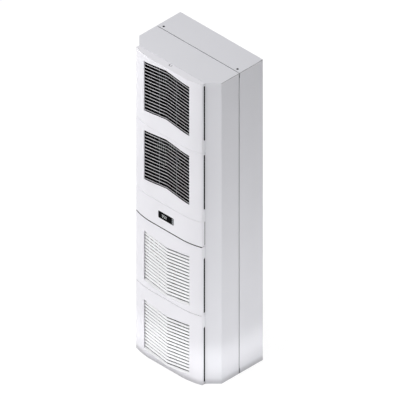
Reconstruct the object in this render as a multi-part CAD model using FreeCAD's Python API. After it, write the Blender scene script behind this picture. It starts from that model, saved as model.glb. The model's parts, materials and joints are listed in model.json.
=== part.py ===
import FreeCAD, Part
import math
import os

V = FreeCAD.Vector

# Overall size of the wall-mounted cooling unit, in millimetres
WIDTH = 500.0
HEIGHT = 1580.0
DEPTH = 340.0

# Sheet-metal housing; every depth is measured forward from the back face
SHEET = 1.5
BEND = 3.0
TRAY_DEPTH = 143.5
SEAM = 3.0
FLANGE = 16.0
CHAMFER = 50.0
FRONT_BULGE = 38.0
COVER_BACK = TRAY_DEPTH + SEAM
COVER_FACE = DEPTH - FRONT_BULGE
PLATE_FRONT = TRAY_DEPTH - SHEET
PLATE_BACK = PLATE_FRONT - SHEET
HOOD_INSIDE = COVER_FACE - SHEET
GASKET_INSET = 3.0
GASKET_WIDTH = 10.0

# Front mouldings
STRIP_H = 132.0
MODULE_H = (HEIGHT - STRIP_H) / 4
MODULE_GAP = 0.8
STRIP_GAP = 3.0
SEAL_CLEAR = 0.3
SEAL_SET = 1.5
SEAL_DEPTH = 12.0
FOAM_W = 6.0
FOAM_SET = 2.0
FOAM_OVER = 1.0
FACE_HALF = WIDTH / 2 - CHAMFER
FLAT_HALF = 0.45 * FACE_HALF
FACE_FALL = 19.0
FACE_R = ((FACE_HALF - FLAT_HALF) ** 2 + FACE_FALL ** 2) / (2 * FACE_FALL)
MOULD_WALL = 3.0
REST = 0.4
SIDE_GAP = 8.5
STRIP_SIDE_GAP = 3.5
END_CLOSED = 13.0
TAB_LENGTH = 60.0
TAB_BEVEL = 6.0
END_RECESS_D = 17.0
END_RECESS_BACK = 9.0
END_RECESS = 2.0
EDGE_ROUND = 2.0

# Louvre field of a grille moulding, drawn with its outer end up
FIELD_HALF = FACE_HALF - 62.5
FIELD_TOP = 35.0
FIELD_LOW = 68.0
FIELD_H = MODULE_H - FIELD_TOP - FIELD_LOW
CHEVRON = 19.7
BLADES = 16
BLADE_EDGE = 2.5
BLADE_FIRST = 5.65
PITCH = (FIELD_H + BLADE_EDGE - BLADE_FIRST) / (BLADES - 1)
BLADE_SET = 4.7
BLADE_BOW = 3.6
BLADE_RUN = 6.2
RAIL_OUT = 9.5
RAIL_T = 3.0
RAIL_DEPTH = 13.0
RAIL_OVER = 8.0
RIB_X = 52.0
RIB_T = 1.6
RIB_LAP = 2.0
RIB_DEPTH = 5.0

# Snap pegs that hold the mouldings to the cover
PEG_R = 4.0
PEG_CLEAR = 0.4
PEG_BOSS = 6.0
PEG_REACH = 10.0
PEG_X = FACE_HALF - 20.0
PEG_END = 40.0

# Openings in the cover behind the mouldings
OPENING_HALF = FIELD_HALF + 7.5
OPENING_MARGIN = 4.0

# Display and its three keys
DISPLAY_W = 93.0
DISPLAY_H = 36.0
DISPLAY_R = 5.0
DISPLAY_CLEAR = 0.3
DISPLAY_MARGIN = 6.0
BEZEL_T = 6.0
BEZEL_RIM = 2.5
BEZEL_STUD_R = 2.0
WINDOW_T = 2.0
WINDOW_STEP = 1.5
WINDOW_CLEAR = 0.05
WINDOW_SET = 0.2
KEY_STRIP = 12.0
KEY_SIZE = 8.6
KEY_PITCH = 10.6
KEY_SET = 0.3
KEY_CLEAR = 0.35
KEY_TRAVEL = 0.8
KEY_STEM_R = 1.6
KEY_LIP = 1.2
BOARD_T = 1.6
BOARD_BACK = 16.0
BOARD_EDGE = 2.2
DIGIT_INSET = 6.0
DIGIT_T = 8.0
SWITCH = 6.0
SWITCH_T = 4.0

# Cover ties
TIE_X = OPENING_HALF + 10.0
TIE_END = 30.0
TIE_FLATS = 11.0
SCREW_R = 2.5
SCREW_HEAD_R = 5.0
SCREW_HEAD_T = 3.0
SCREW_LENGTH = 14.0
SCREW_CLEAR = 0.2
THREAD_LENGTH = 16.0

# Threaded inserts
INSERT_HOLE_D = 6.8
INSERT_OD = 11.0
INSERT_FLANGE_D = 16.0
INSERT_FLANGE_T = 1.5
INSERT_LENGTH = 16.0
MOUNT_EDGE_X = 25.0
MOUNT_EDGE_Z = 90.0
LIFT_EDGE_X = 26.0
LIFT_BACK = TRAY_DEPTH - 14.0

# Condenser fans
FAN_D = 246.0
FAN_TIP_GAP = 3.0
FAN_HUB_D = 92.0
FAN_HUB_L = 34.0
FAN_HUB_ROUND = 8.0
FAN_BLADES = 7
FAN_BLADE_T = 2.4
FAN_ROOT_CHORD = 44.0
FAN_ROOT_PITCH = 36.0
FAN_TIP_CHORD = 84.0
FAN_TIP_PITCH = 20.0
SHROUD_T = 2.0
SHROUD_LAP = 6.0
MOUTH_DEPTH = 30.0
STATOR_D = 84.0
STATOR_L = 10.0
SHAFT_R = 6.0
SHAFT_CLEAR = 0.05
RUN_GAP = 1.5
WIRE_R = 1.5
GUARD_RINGS = 3
GUARD_LAP = 7.0
GUARD_BAR = 28.0
GUARD_PLATE_T = 2.0
GUARD_INNER = STATOR_D / 2 + 12.0

# Condenser coil
COIL_HALF = WIDTH / 2 - 58.0
COIL_T = 44.0
COIL_BACK = PLATE_FRONT + 40.0
COIL_TOP = HEIGHT - 80.0
COIL_PLATE = 2.0
FIN_INSET = 3.0
TUBE_R = 4.8
COIL_ROWS = 8
COIL_BEND = 25.0
COIL_BEND_END = 70.0
COIL_LINE_END = 22.0
BAFFLE_RISE = 4.0

# Evaporator fan and air openings in the back
INLET_D = 250.0
INLET_Z = HEIGHT - 250.0
INLET_ROWS = 10
INLET_STAYS = 3
NOZZLE_SEAT = 4 * WIRE_R
NOZZLE_RIM = 20.0
NOZZLE_LAP = 4.0
THROAT_D = 144.0
IMPELLER_D = 256.0
IMPELLER_BLADES = 7
IMPELLER_BACK = 34.0
IMPELLER_L = 62.0
IMPELLER_HUB_D = 88.0
IMPELLER_HUB_L = 28.0
IMPELLER_EYE = THROAT_D / 2 + NOZZLE_LAP
DISC_T = 2.0
VANE_T = 2.0
VANE_SWEEP = 46.0
EVAP_MOTOR_D = 104.0
EVAP_MOTOR_FLANGE_D = 144.0
EVAP_MOTOR_FLANGE_T = 4.0
EVAP_SHAFT_L = 30.0
OUTLET_HALF = WIDTH / 2 - 60.0
OUTLET_LOW = 120.0
OUTLET_H = 210.0
OUTLET_ROWS = 8
OUTLET_STAYS = 5

# Evaporator coil and condensate tray
EVAP_HALF = WIDTH / 2 - 60.0
EVAP_H = 330.0
EVAP_T = 46.0
EVAP_TILT = 12.0
EVAP_LOW = HEIGHT * 0.36
EVAP_BACK = 45.0
EVAP_ROWS = 5
EVAP_BEND = 20.0
EVAP_BEND_END = 100.0
EVAP_LINE_END = 40.0
EVAP_FEED = 70.0
PAN_DEPTH = 34.0
PAN_DROP = 44.0
PAN_OVER = 8.0
PAN_BACK = 12.0
PAN_FRONT = PLATE_BACK - 20.0
SPOUT_L = 10.0
SPOUT_WALL = 2.0
DRAIN_R = 8.0
DRAIN_CLEAR = 1.0
DRAIN_BACK = 62.0
DRAIN_BEND = 18.0
DRAIN_KNEE = 50.0

# Compressor and refrigerant lines
COMP_R = 0.36 * (HOOD_INSIDE - PLATE_FRONT)
COMP_H = 250.0
COMP_X = -84.0
COMP_FOOT = 8.0
ARM_R = 13.0
ARM_T = 4.0
SHELF_T = 3.0
SHELF_LIP = 16.0
SHELF_FLANGE = 60.0
SHELF_OVER = 20.0
SHELF_FRONT = HOOD_INSIDE - 4.0
SHELF_Z = TIE_END + TIE_FLATS + SHELF_LIP
GROMMET_R = 10.0
GROMMET_H = 14.0
FOOT_BOLT_R = 4.0
FOOT_CLEAR = 0.2
FOOT_HEAD_R = 7.0
FOOT_HEAD_T = 5.0
FOOT_TAIL = 12.0
TERMINAL_W = 30.0
TERMINAL_H = 20.0
LINE_R = 6.0
LIQUID_R = 4.0
LINE_BEND = 24.0
LINE_X = WIDTH / 2 - 28.0
LINE_BACK = COIL_BACK + COIL_T / 2
STUB_L = 12.0
STUB_WALL = 1.5
RUBBER_WALL = 3.0
RUBBER_LIP = 2.0
LINE_CLEAR = 4.0
SUCTION_BACK = PLATE_FRONT + 34.0
PASS_Z = EVAP_LOW - 70.0
SUCTION_Z = PASS_Z - 120.0
DISCHARGE_Z = PASS_Z - 60.0
ACCU_R = 28.0
ACCU_H = 150.0
ACCU_X = COMP_X + 98.0
ACCU_Z = 120.0
ACCU_DROP = 6.0
DRYER_R = 20.0
DRYER_H = 130.0
DRYER_Z = PASS_Z + 60.0
DRYER_NECK = 10.0
DRYER_TAPER = 18.0
VALVE = 24.0
VALVE_CAP_R = 10.0
VALVE_CAP_L = 18.0

# Supply connector in the back
SUPPLY_X = 100.0 - WIDTH / 2
SUPPLY_Z = HEIGHT - 60.0
SUPPLY_W = 64.0
SUPPLY_H = 28.0
SUPPLY_L = 26.0
SUPPLY_SET = 0.2
SUPPLY_LIP = 4.0
SUPPLY_LIP_T = 2.0
POLES = 5
POLE_W = 8.0
POLE_H = 14.0
POLE_DEPTH = 14.0

# Electronics box
EBOX_W = 118.0
EBOX_H = 190.0
EBOX_T = 62.0
EBOX_WALL = 1.2
EBOX_LEFT = 20.0
EBOX_LIFT = 60.0
EBOX_LID = 10.0
EBOX_STUD = 8.0
EBOX_STUD_R = 3.0
EBOX_CABLE_R = 10.0
BOARD_MARGIN = 8.0
RELAYS = 4
RELAY_W = 18.0
RELAY_H = 28.0
RELAY_T = 15.0
TERMINALS_H = 12.0
CAPACITOR_R = 16.0
CAPACITOR_H = 90.0

# How far a cutting shape runs past what it cuts
OVER = 1.0


def at(back):
    """Y of a point a given distance forward of the back face."""
    return DEPTH / 2 - back


def block(x0, x1, d0, d1, z0, z1):
    """Block between two sides, two distances from the back and two heights."""
    return Part.makeBox(x1 - x0, d1 - d0, z1 - z0, V(x0, at(d1), z0))


def rod(x, z, d0, d1, radius):
    """Round bar running along the depth."""
    return Part.makeCylinder(radius, d1 - d0, V(x, at(d0), z), V(0, -1, 0))


def post(x, d, z0, z1, radius):
    """Upright round bar."""
    return Part.makeCylinder(radius, z1 - z0, V(x, at(d), z0), V(0, 0, 1))


def upright(points, z0, z1):
    """Prism with a plan outline of (x, distance from back) points."""
    corners = [V(x, at(d), z0) for x, d in points]
    return Part.Face(Part.makePolygon(corners + corners[:1])).extrude(V(0, 0, z1 - z0))


def facing(points, d0, d1):
    """Prism with a front outline of (x, z) points, running along the depth."""
    corners = [V(x, at(d0), z) for x, z in points]
    return Part.Face(Part.makePolygon(corners + corners[:1])).extrude(V(0, d0 - d1, 0))


def rounded(x0, x1, z0, z1, radius, d0, d1):
    """Plate with rounded corners seen from the front."""
    plate = block(x0, x1, d0, d1, z0, z1)
    corners = [e for e in plate.Edges if abs(e.tangentAt(e.FirstParameter).y) > 0.9]
    return plate.makeFillet(radius, corners)


def ring(x, z, d0, d1, outer, inner):
    """Flat ring or sleeve along the depth."""
    return rod(x, z, d0, d1, outer).cut(rod(x, z, d0 - OVER, d1 + OVER, inner))


def turned(x, z, profile):
    """Body of revolution about a depth axis from (radius, distance from back) points."""
    corners = [V(x + r, at(d), z) for r, d in profile]
    face = Part.Face(Part.makePolygon(corners + corners[:1]))
    return face.revolve(V(x, 0, z), V(0, 1, 0), 360)


def fused(shapes):
    """One body from overlapping shapes."""
    return shapes[0].multiFuse(shapes[1:]).removeSplitter()


def mirrored(shape):
    """The same shape on the other side of the centre plane."""
    return shape.mirror(V(0, 0, 0), V(1, 0, 0))


def tube(points, radius, bend):
    """Round tube through (x, distance from back, z) points, bent to one radius."""
    knots = [V(x, at(d), z) for x, d, z in points]
    start = knots[0]
    edges = []
    for before, corner, after in zip(knots, knots[1:], knots[2:]):
        into = (before - corner).normalize()
        out = (after - corner).normalize()
        half = into.getAngle(out) / 2
        enter = corner + into * (bend / math.tan(half))
        leave = corner + out * (bend / math.tan(half))
        middle = corner + (into + out).normalize() * (bend / math.sin(half) - bend)
        edges.append(Part.makeLine(start, enter))
        edges.append(Part.Arc(enter, middle, leave).toShape())
        start = leave
    edges.append(Part.makeLine(start, knots[-1]))
    section = Part.Wire(Part.makeCircle(radius, knots[0], knots[1] - knots[0]))
    return Part.Wire(edges).makePipeShell([section], True, False)


def module_bases():
    """Base height of the four grille mouldings, top to bottom, and whether each is turned over."""
    lower = 2 * MODULE_H
    upper = lower + STRIP_H
    return [(upper + MODULE_H, False), (upper, False), (MODULE_H, True), (0.0, True)]


def field_span(base, turned_over):
    """Lowest and highest point of a louvre field standing on a base height."""
    low = FIELD_LOW
    high = MODULE_H - FIELD_TOP + CHEVRON
    if turned_over:
        low, high = MODULE_H - high, MODULE_H - low
    return base + low, base + high


def moulding_spans():
    """Lower and upper end of all five front mouldings."""
    strip = 2 * MODULE_H
    spans = [(base, base + MODULE_H - MODULE_GAP) for base, flip in module_bases()]
    return spans + [(strip + STRIP_GAP - MODULE_GAP, strip + STRIP_H - MODULE_GAP)]


def peg_places():
    """Where the snap pegs of all mouldings pass through the cover."""
    places = []
    for low, high in moulding_spans():
        for x in (-PEG_X, PEG_X):
            places.append((x, low + PEG_END))
            places.append((x, high - PEG_END))
    return places


def tie_places():
    """Where the cover is tied to the partition plate."""
    heights = (TIE_END, 2 * MODULE_H + STRIP_H / 2, HEIGHT - TIE_END)
    return [(side * TIE_X, z) for z in heights for side in (-1, 1)]


def mount_places():
    """Rear inserts: three rows of two."""
    x = WIDTH / 2 - MOUNT_EDGE_X
    heights = (MOUNT_EDGE_Z, HEIGHT / 2, HEIGHT - MOUNT_EDGE_Z)
    return [(side * x, z) for z in heights for side in (-1, 1)]


def hood_outline(inset):
    """Half-width, chamfer start and front half-width of the cover, moved in by a sheet."""
    slack = inset * (1 - math.sqrt(2))
    half = WIDTH / 2 - inset
    face = COVER_FACE - inset
    return half, COVER_FACE - CHAMFER + slack, FACE_HALF + slack, face


def hood_prism(inset, back, z0, z1):
    """Solid of the cover's plan outline."""
    half, start, front, face = hood_outline(inset)
    plan = [(half, back), (half, start), (front, face), (-front, face), (-half, start), (-half, back)]
    return upright(plan, z0, z1)


def rear_tray():
    """Folded rear tray with return flange, air openings and insert holes."""
    half = WIDTH / 2
    outer = block(-half, half, 0, TRAY_DEPTH, 0, HEIGHT)
    rear = [e for e in outer.Edges if abs(e.CenterOfMass.y - at(0)) < 0.01]
    outer = outer.makeFillet(BEND, rear)
    inner = block(-half + SHEET, half - SHEET, SHEET, TRAY_DEPTH - SHEET, SHEET, HEIGHT - SHEET)
    rear = [e for e in inner.Edges if abs(e.CenterOfMass.y - at(SHEET)) < 0.01]
    inner = inner.makeFillet(BEND - SHEET, rear)
    window = block(-half + FLANGE, half - FLANGE, SHEET, TRAY_DEPTH + OVER, FLANGE, HEIGHT - FLANGE)
    cuts = [inner, window, rod(0, INLET_Z, -OVER, SHEET + OVER, INLET_D / 2)]
    cuts.append(block(-OUTLET_HALF, OUTLET_HALF, -OVER, SHEET + OVER, OUTLET_LOW, OUTLET_LOW + OUTLET_H))
    cuts += [rod(x, z, -OVER, SHEET + OVER, INSERT_OD / 2) for x, z in mount_places()]
    for side in (-1, 1):
        x = side * (half - LIFT_EDGE_X)
        cuts.append(post(x, LIFT_BACK, HEIGHT - SHEET - OVER, HEIGHT + OVER, INSERT_OD / 2))
    cuts.append(post(-LINE_X, DRAIN_BACK, -OVER, SHEET + OVER, DRAIN_R + DRAIN_CLEAR))
    width = SUPPLY_W / 2 + DISPLAY_CLEAR
    rise = SUPPLY_H / 2 + DISPLAY_CLEAR
    x = SUPPLY_X
    cuts.append(block(x - width, x + width, -OVER, SHEET + OVER, SUPPLY_Z - rise, SUPPLY_Z + rise))
    return outer.cut(cuts)


def front_cover():
    """Chamfered front hood with return flange and the openings behind the mouldings."""
    outer = hood_prism(0, COVER_BACK, 0, HEIGHT)
    folds = [e for e in outer.Edges if abs(e.tangentAt(e.FirstParameter).z) > 0.9]
    folds = [e for e in folds if abs(e.CenterOfMass.y - at(COVER_BACK)) > 1]
    outer = outer.makeFillet(BEND, folds)
    inner = hood_prism(SHEET, COVER_BACK + SHEET, SHEET, HEIGHT - SHEET)
    half = WIDTH / 2 - FLANGE
    window = block(-half, half, COVER_BACK - OVER, COVER_BACK + SHEET + OVER, FLANGE, HEIGHT - FLANGE)
    cuts = [inner, window]
    for base, flip in module_bases():
        low, high = field_span(base, flip)
        low -= OPENING_MARGIN
        high += OPENING_MARGIN
        cuts.append(block(-OPENING_HALF, OPENING_HALF, HOOD_INSIDE - OVER, COVER_FACE + OVER, low, high))
    middle = 2 * MODULE_H + STRIP_H / 2
    reach = DISPLAY_W / 2 + DISPLAY_MARGIN
    rise = DISPLAY_H / 2 + DISPLAY_MARGIN
    cuts.append(block(-reach, reach, HOOD_INSIDE - OVER, COVER_FACE + OVER, middle - rise, middle + rise))
    cuts += [rod(x, z, HOOD_INSIDE - OVER, COVER_FACE + OVER, PEG_R + PEG_CLEAR) for x, z in peg_places()]
    bore = SCREW_R + SCREW_CLEAR
    cuts += [rod(x, z, HOOD_INSIDE - OVER, COVER_FACE + OVER, bore) for x, z in tie_places()]
    return outer.cut(cuts)


def seam_gasket():
    """Foam strip lying in the seam between tray and cover."""
    half = WIDTH / 2 - GASKET_INSET
    low = GASKET_INSET
    outer = block(-half, half, TRAY_DEPTH, COVER_BACK, low, HEIGHT - low)
    half -= GASKET_WIDTH
    low += GASKET_WIDTH
    return outer.cut(block(-half, half, TRAY_DEPTH - OVER, COVER_BACK + OVER, low, HEIGHT - low))


def face_slab(inset, back, z0, z1):
    """Solid under the bowed front skin of a moulding: flat middle and two falling arcs."""
    radius = FACE_R - inset
    half = FACE_HALF - inset
    swing = math.asin((half - FLAT_HALF) / radius)

    def skin(angle, side):
        x = FLAT_HALF + radius * math.sin(angle)
        return V(side * x, at(DEPTH - FACE_R + radius * math.cos(angle)), z0)

    left = Part.Arc(skin(swing, -1), skin(swing / 2, -1), skin(0, -1)).toShape()
    right = Part.Arc(skin(0, 1), skin(swing / 2, 1), skin(swing, 1)).toShape()
    foot_left = V(-half, at(back), z0)
    foot_right = V(half, at(back), z0)
    outline = [Part.makeLine(foot_left, skin(swing, -1)), left, Part.makeLine(skin(0, -1), skin(0, 1))]
    outline += [right, Part.makeLine(skin(swing, 1), foot_right), Part.makeLine(foot_right, foot_left)]
    return Part.Face(Part.Wire(outline)).extrude(V(0, 0, z1 - z0))


def moulding_skin(z0, z1):
    """Outside of a moulding with its front and corner edges rounded."""
    slab = face_slab(0, COVER_FACE + REST, z0, z1)
    seat = at(COVER_FACE + REST)
    edges = [e for e in slab.Edges if e.BoundBox.YMin < seat - EDGE_ROUND]
    inner = [e for e in edges if abs(e.CenterOfMass.x) < FACE_HALF - OVER and e.BoundBox.ZLength > OVER]
    kept = [e for e in edges if not any(e.isSame(other) for other in inner)]
    return slab.makeFillet(EDGE_ROUND, kept)


def pegs(z0, z1, skin):
    """Four stepped snap pegs, their bosses trimmed to the moulding's skin."""
    shapes = []
    for x in (-PEG_X, PEG_X):
        for z in (z0 + PEG_END, z1 - PEG_END):
            shapes.append(rod(x, z, COVER_FACE + REST, DEPTH, PEG_BOSS).common(skin))
            shapes.append(rod(x, z, COVER_FACE - PEG_REACH, COVER_FACE + MOULD_WALL, PEG_R))
    return shapes


def chevron(low, high):
    """Front outline of the louvre field with parallel chevron top and bottom edges."""
    return [(-FIELD_HALF, low), (0, low + CHEVRON), (FIELD_HALF, low),
            (FIELD_HALF, high), (0, high + CHEVRON), (-FIELD_HALF, high)]


def blade(front_z, lead):
    """One sloping V-shaped louvre blade, higher and further forward in the middle; a lead makes it reach on."""
    front = DEPTH - BLADE_SET
    back = front - BLADE_RUN
    foot = front_z - BLADE_EDGE
    section = [(back, foot - BLADE_RUN), (back, front_z - BLADE_RUN), (front, front_z)]
    if lead:
        section += [(front + lead, front_z), (front + lead, foot)]
    section.append((front, foot))
    corners = [V(0, at(d), z) for d, z in section]
    stretch = (FIELD_HALF + RAIL_OUT + RAIL_T / 2) / FIELD_HALF
    sweep = V(FIELD_HALF * stretch, BLADE_BOW * stretch, -CHEVRON * stretch)
    half = Part.Face(Part.makePolygon(corners + corners[:1])).extrude(sweep)
    return half.fuse(mirrored(half))


def side_gap(z0, z1, side):
    """Cut that opens the side wall towards the cover, with one bevelled end."""
    back = COVER_FACE - 1
    front = COVER_FACE + SIDE_GAP
    profile = [(back, z0), (front - TAB_BEVEL, z0), (front, z0 + TAB_BEVEL), (front, z1), (back, z1)]
    corners = [V(side * (FACE_HALF - MOULD_WALL - OVER), at(d), z) for d, z in profile]
    return Part.Face(Part.makePolygon(corners + corners[:1])).extrude(V(side * (MOULD_WALL + 2), 0, 0))


def grille():
    """Grille moulding with its outer end up: bowed shell, chevron louvre field, snap pegs."""
    height = MODULE_H - MODULE_GAP
    skin = moulding_skin(0, height)
    hollow = face_slab(MOULD_WALL, COVER_FACE - OVER, MOULD_WALL, height - MOULD_WALL)
    low = FIELD_LOW
    high = MODULE_H - FIELD_TOP
    opening = facing(chevron(low, high), COVER_FACE, DEPTH + OVER)
    inner = FIELD_HALF + RAIL_OUT
    rail = block(inner, inner + RAIL_T, DEPTH - RAIL_DEPTH, DEPTH, low - RAIL_OVER, high + RAIL_OVER)
    rail = rail.common(skin)
    cuts = [side_gap(TAB_LENGTH, height - END_CLOSED, side) for side in (-1, 1)]
    cuts.append(post(0, COVER_FACE + END_RECESS_BACK, height - END_RECESS, height + OVER, END_RECESS_D / 2))
    body = fused([skin.cut(hollow), rail, mirrored(rail)] + pegs(0, height, skin)).cut(cuts + [opening])
    first = low + CHEVRON + BLADE_FIRST
    blades = [blade(first + PITCH * i, 0) for i in range(BLADES - 1)]
    within_skin = face_slab(MOULD_WALL / 2, COVER_FACE, 0, height)
    blades.append(blade(high + CHEVRON + BLADE_EDGE, BLADE_SET + BLADE_BOW + OVER).common(within_skin))
    lift = CHEVRON * (1 - RIB_X / FIELD_HALF)
    front = DEPTH - BLADE_SET - BLADE_BOW * RIB_X / FIELD_HALF - BLADE_RUN + RIB_LAP
    ribs = []
    for x in (-RIB_X - RIB_T / 2, RIB_X - RIB_T / 2):
        ribs.append(block(x, x + RIB_T, front - RIB_DEPTH, front, low + lift - OVER, high + lift - OVER))
    return fused([body] + blades + ribs)


def placed_grille(pattern, base, turned_over):
    """Copy of the grille moulding on its base height, turned over for the lower pair."""
    piece = pattern.copy()
    height = MODULE_H - MODULE_GAP
    if turned_over:
        piece.rotate(V(0, 0, height / 2), V(0, 1, 0), 180)
    piece.translate(V(0, 0, base))
    return piece


def strip_middle():
    """Height of the display's centre."""
    return 2 * MODULE_H + STRIP_H / 2


def display_panel():
    """Plain bowed strip between the grille pairs, with an aperture for the display."""
    low, high = moulding_spans()[-1]
    skin = moulding_skin(low, high)
    hollow = face_slab(MOULD_WALL, COVER_FACE - OVER, low + MOULD_WALL, high - MOULD_WALL)
    x = DISPLAY_W / 2 + DISPLAY_CLEAR
    z = DISPLAY_H / 2 + DISPLAY_CLEAR
    mid = strip_middle()
    cuts = [rounded(-x, x, mid - z, mid + z, DISPLAY_R + DISPLAY_CLEAR, DEPTH - FACE_FALL, DEPTH + OVER)]
    for side in (-1, 1):
        left = side * FACE_HALF - MOULD_WALL - OVER
        right = side * FACE_HALF + MOULD_WALL + OVER
        gap = COVER_FACE + STRIP_SIDE_GAP
        cuts.append(block(left, right, COVER_FACE - OVER, gap, low + MOULD_WALL, high - MOULD_WALL))
    return fused([skin.cut(hollow)] + pegs(low, high, skin)).cut(cuts)


def strip_seal():
    """Black foam strip under the display panel, closing the joint to the grille below it."""
    high = moulding_spans()[-1][0]
    low = high - STRIP_GAP + SEAL_CLEAR
    ends = face_slab(SEAL_SET, COVER_FACE + REST, low, high)
    return ends.cut(face_slab(SEAL_SET + SEAL_DEPTH, COVER_FACE - OVER, low - OVER, high + OVER))


def side_foam():
    """Black foam strips on the cover, close behind the open sides of the mouldings."""
    outer = FACE_HALF - MOULD_WALL - FOAM_SET
    front = COVER_FACE + SIDE_GAP + FOAM_OVER
    strips = []
    for low, high in moulding_spans():
        strip = block(outer - FOAM_W, outer, COVER_FACE, front, low + END_CLOSED, high - END_CLOSED)
        strips += [strip, mirrored(strip)]
    return Part.makeCompound(strips)


def key_places():
    """Centres of the three keys at the right end of the display."""
    x = DISPLAY_W / 2 - KEY_STRIP / 2
    return [(x, strip_middle() + KEY_PITCH * step) for step in (1, 0, -1)]


def window_span(grow):
    """Left, right and half-height of the display window, grown all round."""
    left = -DISPLAY_W / 2 + BEZEL_RIM - grow
    right = DISPLAY_W / 2 - KEY_STRIP + grow
    return left, right, DISPLAY_H / 2 - BEZEL_RIM + grow


def display_bezel():
    """Frame with a rear rim, a stepped window opening, three key openings and board studs."""
    x = DISPLAY_W / 2
    z = DISPLAY_H / 2
    mid = strip_middle()
    rim = MOULD_WALL
    back = DEPTH - BEZEL_T
    front = rounded(-x, x, mid - z, mid + z, DISPLAY_R, back, DEPTH)
    flange = rounded(-x - rim, x + rim, mid - z - rim, mid + z + rim, DISPLAY_R, back, DEPTH - MOULD_WALL)
    corners = [(side, mid + end) for side in (-x, x) for end in (-z, z)]
    studs = [rod(sx, sz, DEPTH - BOARD_BACK, back + OVER, BEZEL_STUD_R) for sx, sz in corners]
    left, right, half = window_span(0)
    cuts = [block(left, right, DEPTH - WINDOW_T, DEPTH + OVER, mid - half, mid + half)]
    left, right, half = window_span(-WINDOW_STEP)
    cuts.append(block(left, right, back - OVER, DEPTH, mid - half, mid + half))
    key = KEY_SIZE / 2 + KEY_CLEAR
    for kx, kz in key_places():
        cuts.append(block(kx - key, kx + key, back - OVER, DEPTH + OVER, kz - key, kz + key))
    return fused([front, flange] + studs).cut(cuts)


def display_window():
    """Clear pane lying in the stepped opening of the bezel."""
    left, right, half = window_span(-WINDOW_CLEAR)
    mid = strip_middle()
    return block(left, right, DEPTH - WINDOW_T, DEPTH - WINDOW_SET, mid - half, mid + half)


def display_board():
    """Circuit board with the digit block and three push switches."""
    mid = strip_middle()
    front = DEPTH - BOARD_BACK
    x = DISPLAY_W / 2 + BOARD_EDGE
    z = DISPLAY_H / 2 + BOARD_EDGE
    left, right, half = window_span(-DIGIT_INSET)
    root = front - BOARD_T / 2
    shapes = [block(-x, x, front - BOARD_T, front, mid - z, mid + z)]
    shapes.append(block(left, right, root, front + DIGIT_T, mid - half, mid + half))
    half = SWITCH / 2
    for kx, kz in key_places():
        shapes.append(block(kx - half, kx + half, root, switch_front(), kz - half, kz + half))
    return fused(shapes)


def switch_front():
    """Front of the push switches on the display board."""
    return DEPTH - BOARD_BACK + SWITCH_T


def key(x, z):
    """Square key cap with a retaining lip behind the bezel and a stem to its switch."""
    half = KEY_SIZE / 2
    back = DEPTH - BEZEL_T
    lip = back - KEY_CLEAR
    wide = half + KEY_LIP
    cap = block(x - half, x + half, lip - KEY_LIP, DEPTH - KEY_SET, z - half, z + half)
    ears = block(x - wide, x + wide, lip - KEY_LIP, lip, z - half, z + half)
    stem = rod(x, z, switch_front() + KEY_TRAVEL + KEY_CLEAR, lip, KEY_STEM_R)
    return fused([cap, ears, stem])


def partition_plate():
    """Plate behind the tray flange that keeps the two air circuits apart."""
    half = WIDTH / 2 - SHEET - DISPLAY_CLEAR
    low = SHEET + DISPLAY_CLEAR
    plate = block(-half, half, PLATE_BACK, PLATE_FRONT, low, HEIGHT - low)
    return plate.cut([rod(x, PASS_Z, PLATE_BACK - OVER, PLATE_FRONT + OVER, r) for x, r in line_holes()])


def line_holes():
    """Side position and radius of the two holes for the refrigerant lines."""
    return [(-LINE_X, LINE_R + RUBBER_WALL), (LINE_X, LIQUID_R + RUBBER_WALL)]


def line_grommets():
    """Grooved rubber rings round the lines where they pass the partition."""
    rings = []
    for (x, hole), line in zip(line_holes(), (LINE_R, LIQUID_R)):
        rim = hole + RUBBER_WALL
        back = PLATE_BACK - RUBBER_LIP
        front = PLATE_FRONT + RUBBER_LIP
        profile = [(line, back), (rim, back), (rim, PLATE_BACK), (hole, PLATE_BACK)]
        profile += [(hole, PLATE_FRONT), (rim, PLATE_FRONT), (rim, front), (line, front)]
        rings.append(turned(x, PASS_Z, profile))
    return Part.makeCompound(rings)


def cover_ties():
    """Hexagonal spacers between partition plate and cover."""
    radius = TIE_FLATS / math.sqrt(3)
    bars = []
    turns = [math.radians(60 * k) for k in range(6)]
    for x, z in tie_places():
        outline = [(x + radius * math.cos(a), z + radius * math.sin(a)) for a in turns]
        bar = facing(outline, PLATE_FRONT, HOOD_INSIDE)
        bars.append(bar.cut(rod(x, z, HOOD_INSIDE - THREAD_LENGTH, HOOD_INSIDE + OVER, SCREW_R)))
    return Part.makeCompound(bars)


def cover_screws():
    """Pan-head screws that hold the cover on its ties."""
    screws = []
    for x, z in tie_places():
        head = rod(x, z, COVER_FACE, COVER_FACE + SCREW_HEAD_T, SCREW_HEAD_R)
        screws.append(head.fuse(rod(x, z, HOOD_INSIDE - SCREW_LENGTH, COVER_FACE + OVER, SCREW_R)))
    return Part.makeCompound(screws)


def insert():
    """Threaded rivet insert along +Z with its face at the origin and its body below."""
    hole = INSERT_HOLE_D / 2
    body = INSERT_OD / 2
    flange = INSERT_FLANGE_D / 2
    edge = -SHEET - INSERT_FLANGE_T
    profile = [(hole, 0), (body, 0), (body, -SHEET), (flange, -SHEET), (flange, edge)]
    profile += [(body, edge), (body, -INSERT_LENGTH), (hole, -INSERT_LENGTH)]
    corners = [V(r, 0, z) for r, z in profile]
    return Part.Face(Part.makePolygon(corners + corners[:1])).revolve(V(0, 0, 0), V(0, 0, 1), 360)


def mount_inserts():
    """Six inserts in the back for the enclosure wall."""
    pieces = []
    for x, z in mount_places():
        piece = insert()
        piece.rotate(V(0, 0, 0), V(1, 0, 0), -90)
        piece.translate(V(x, at(0), z))
        pieces.append(piece)
    return Part.makeCompound(pieces)


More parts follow.
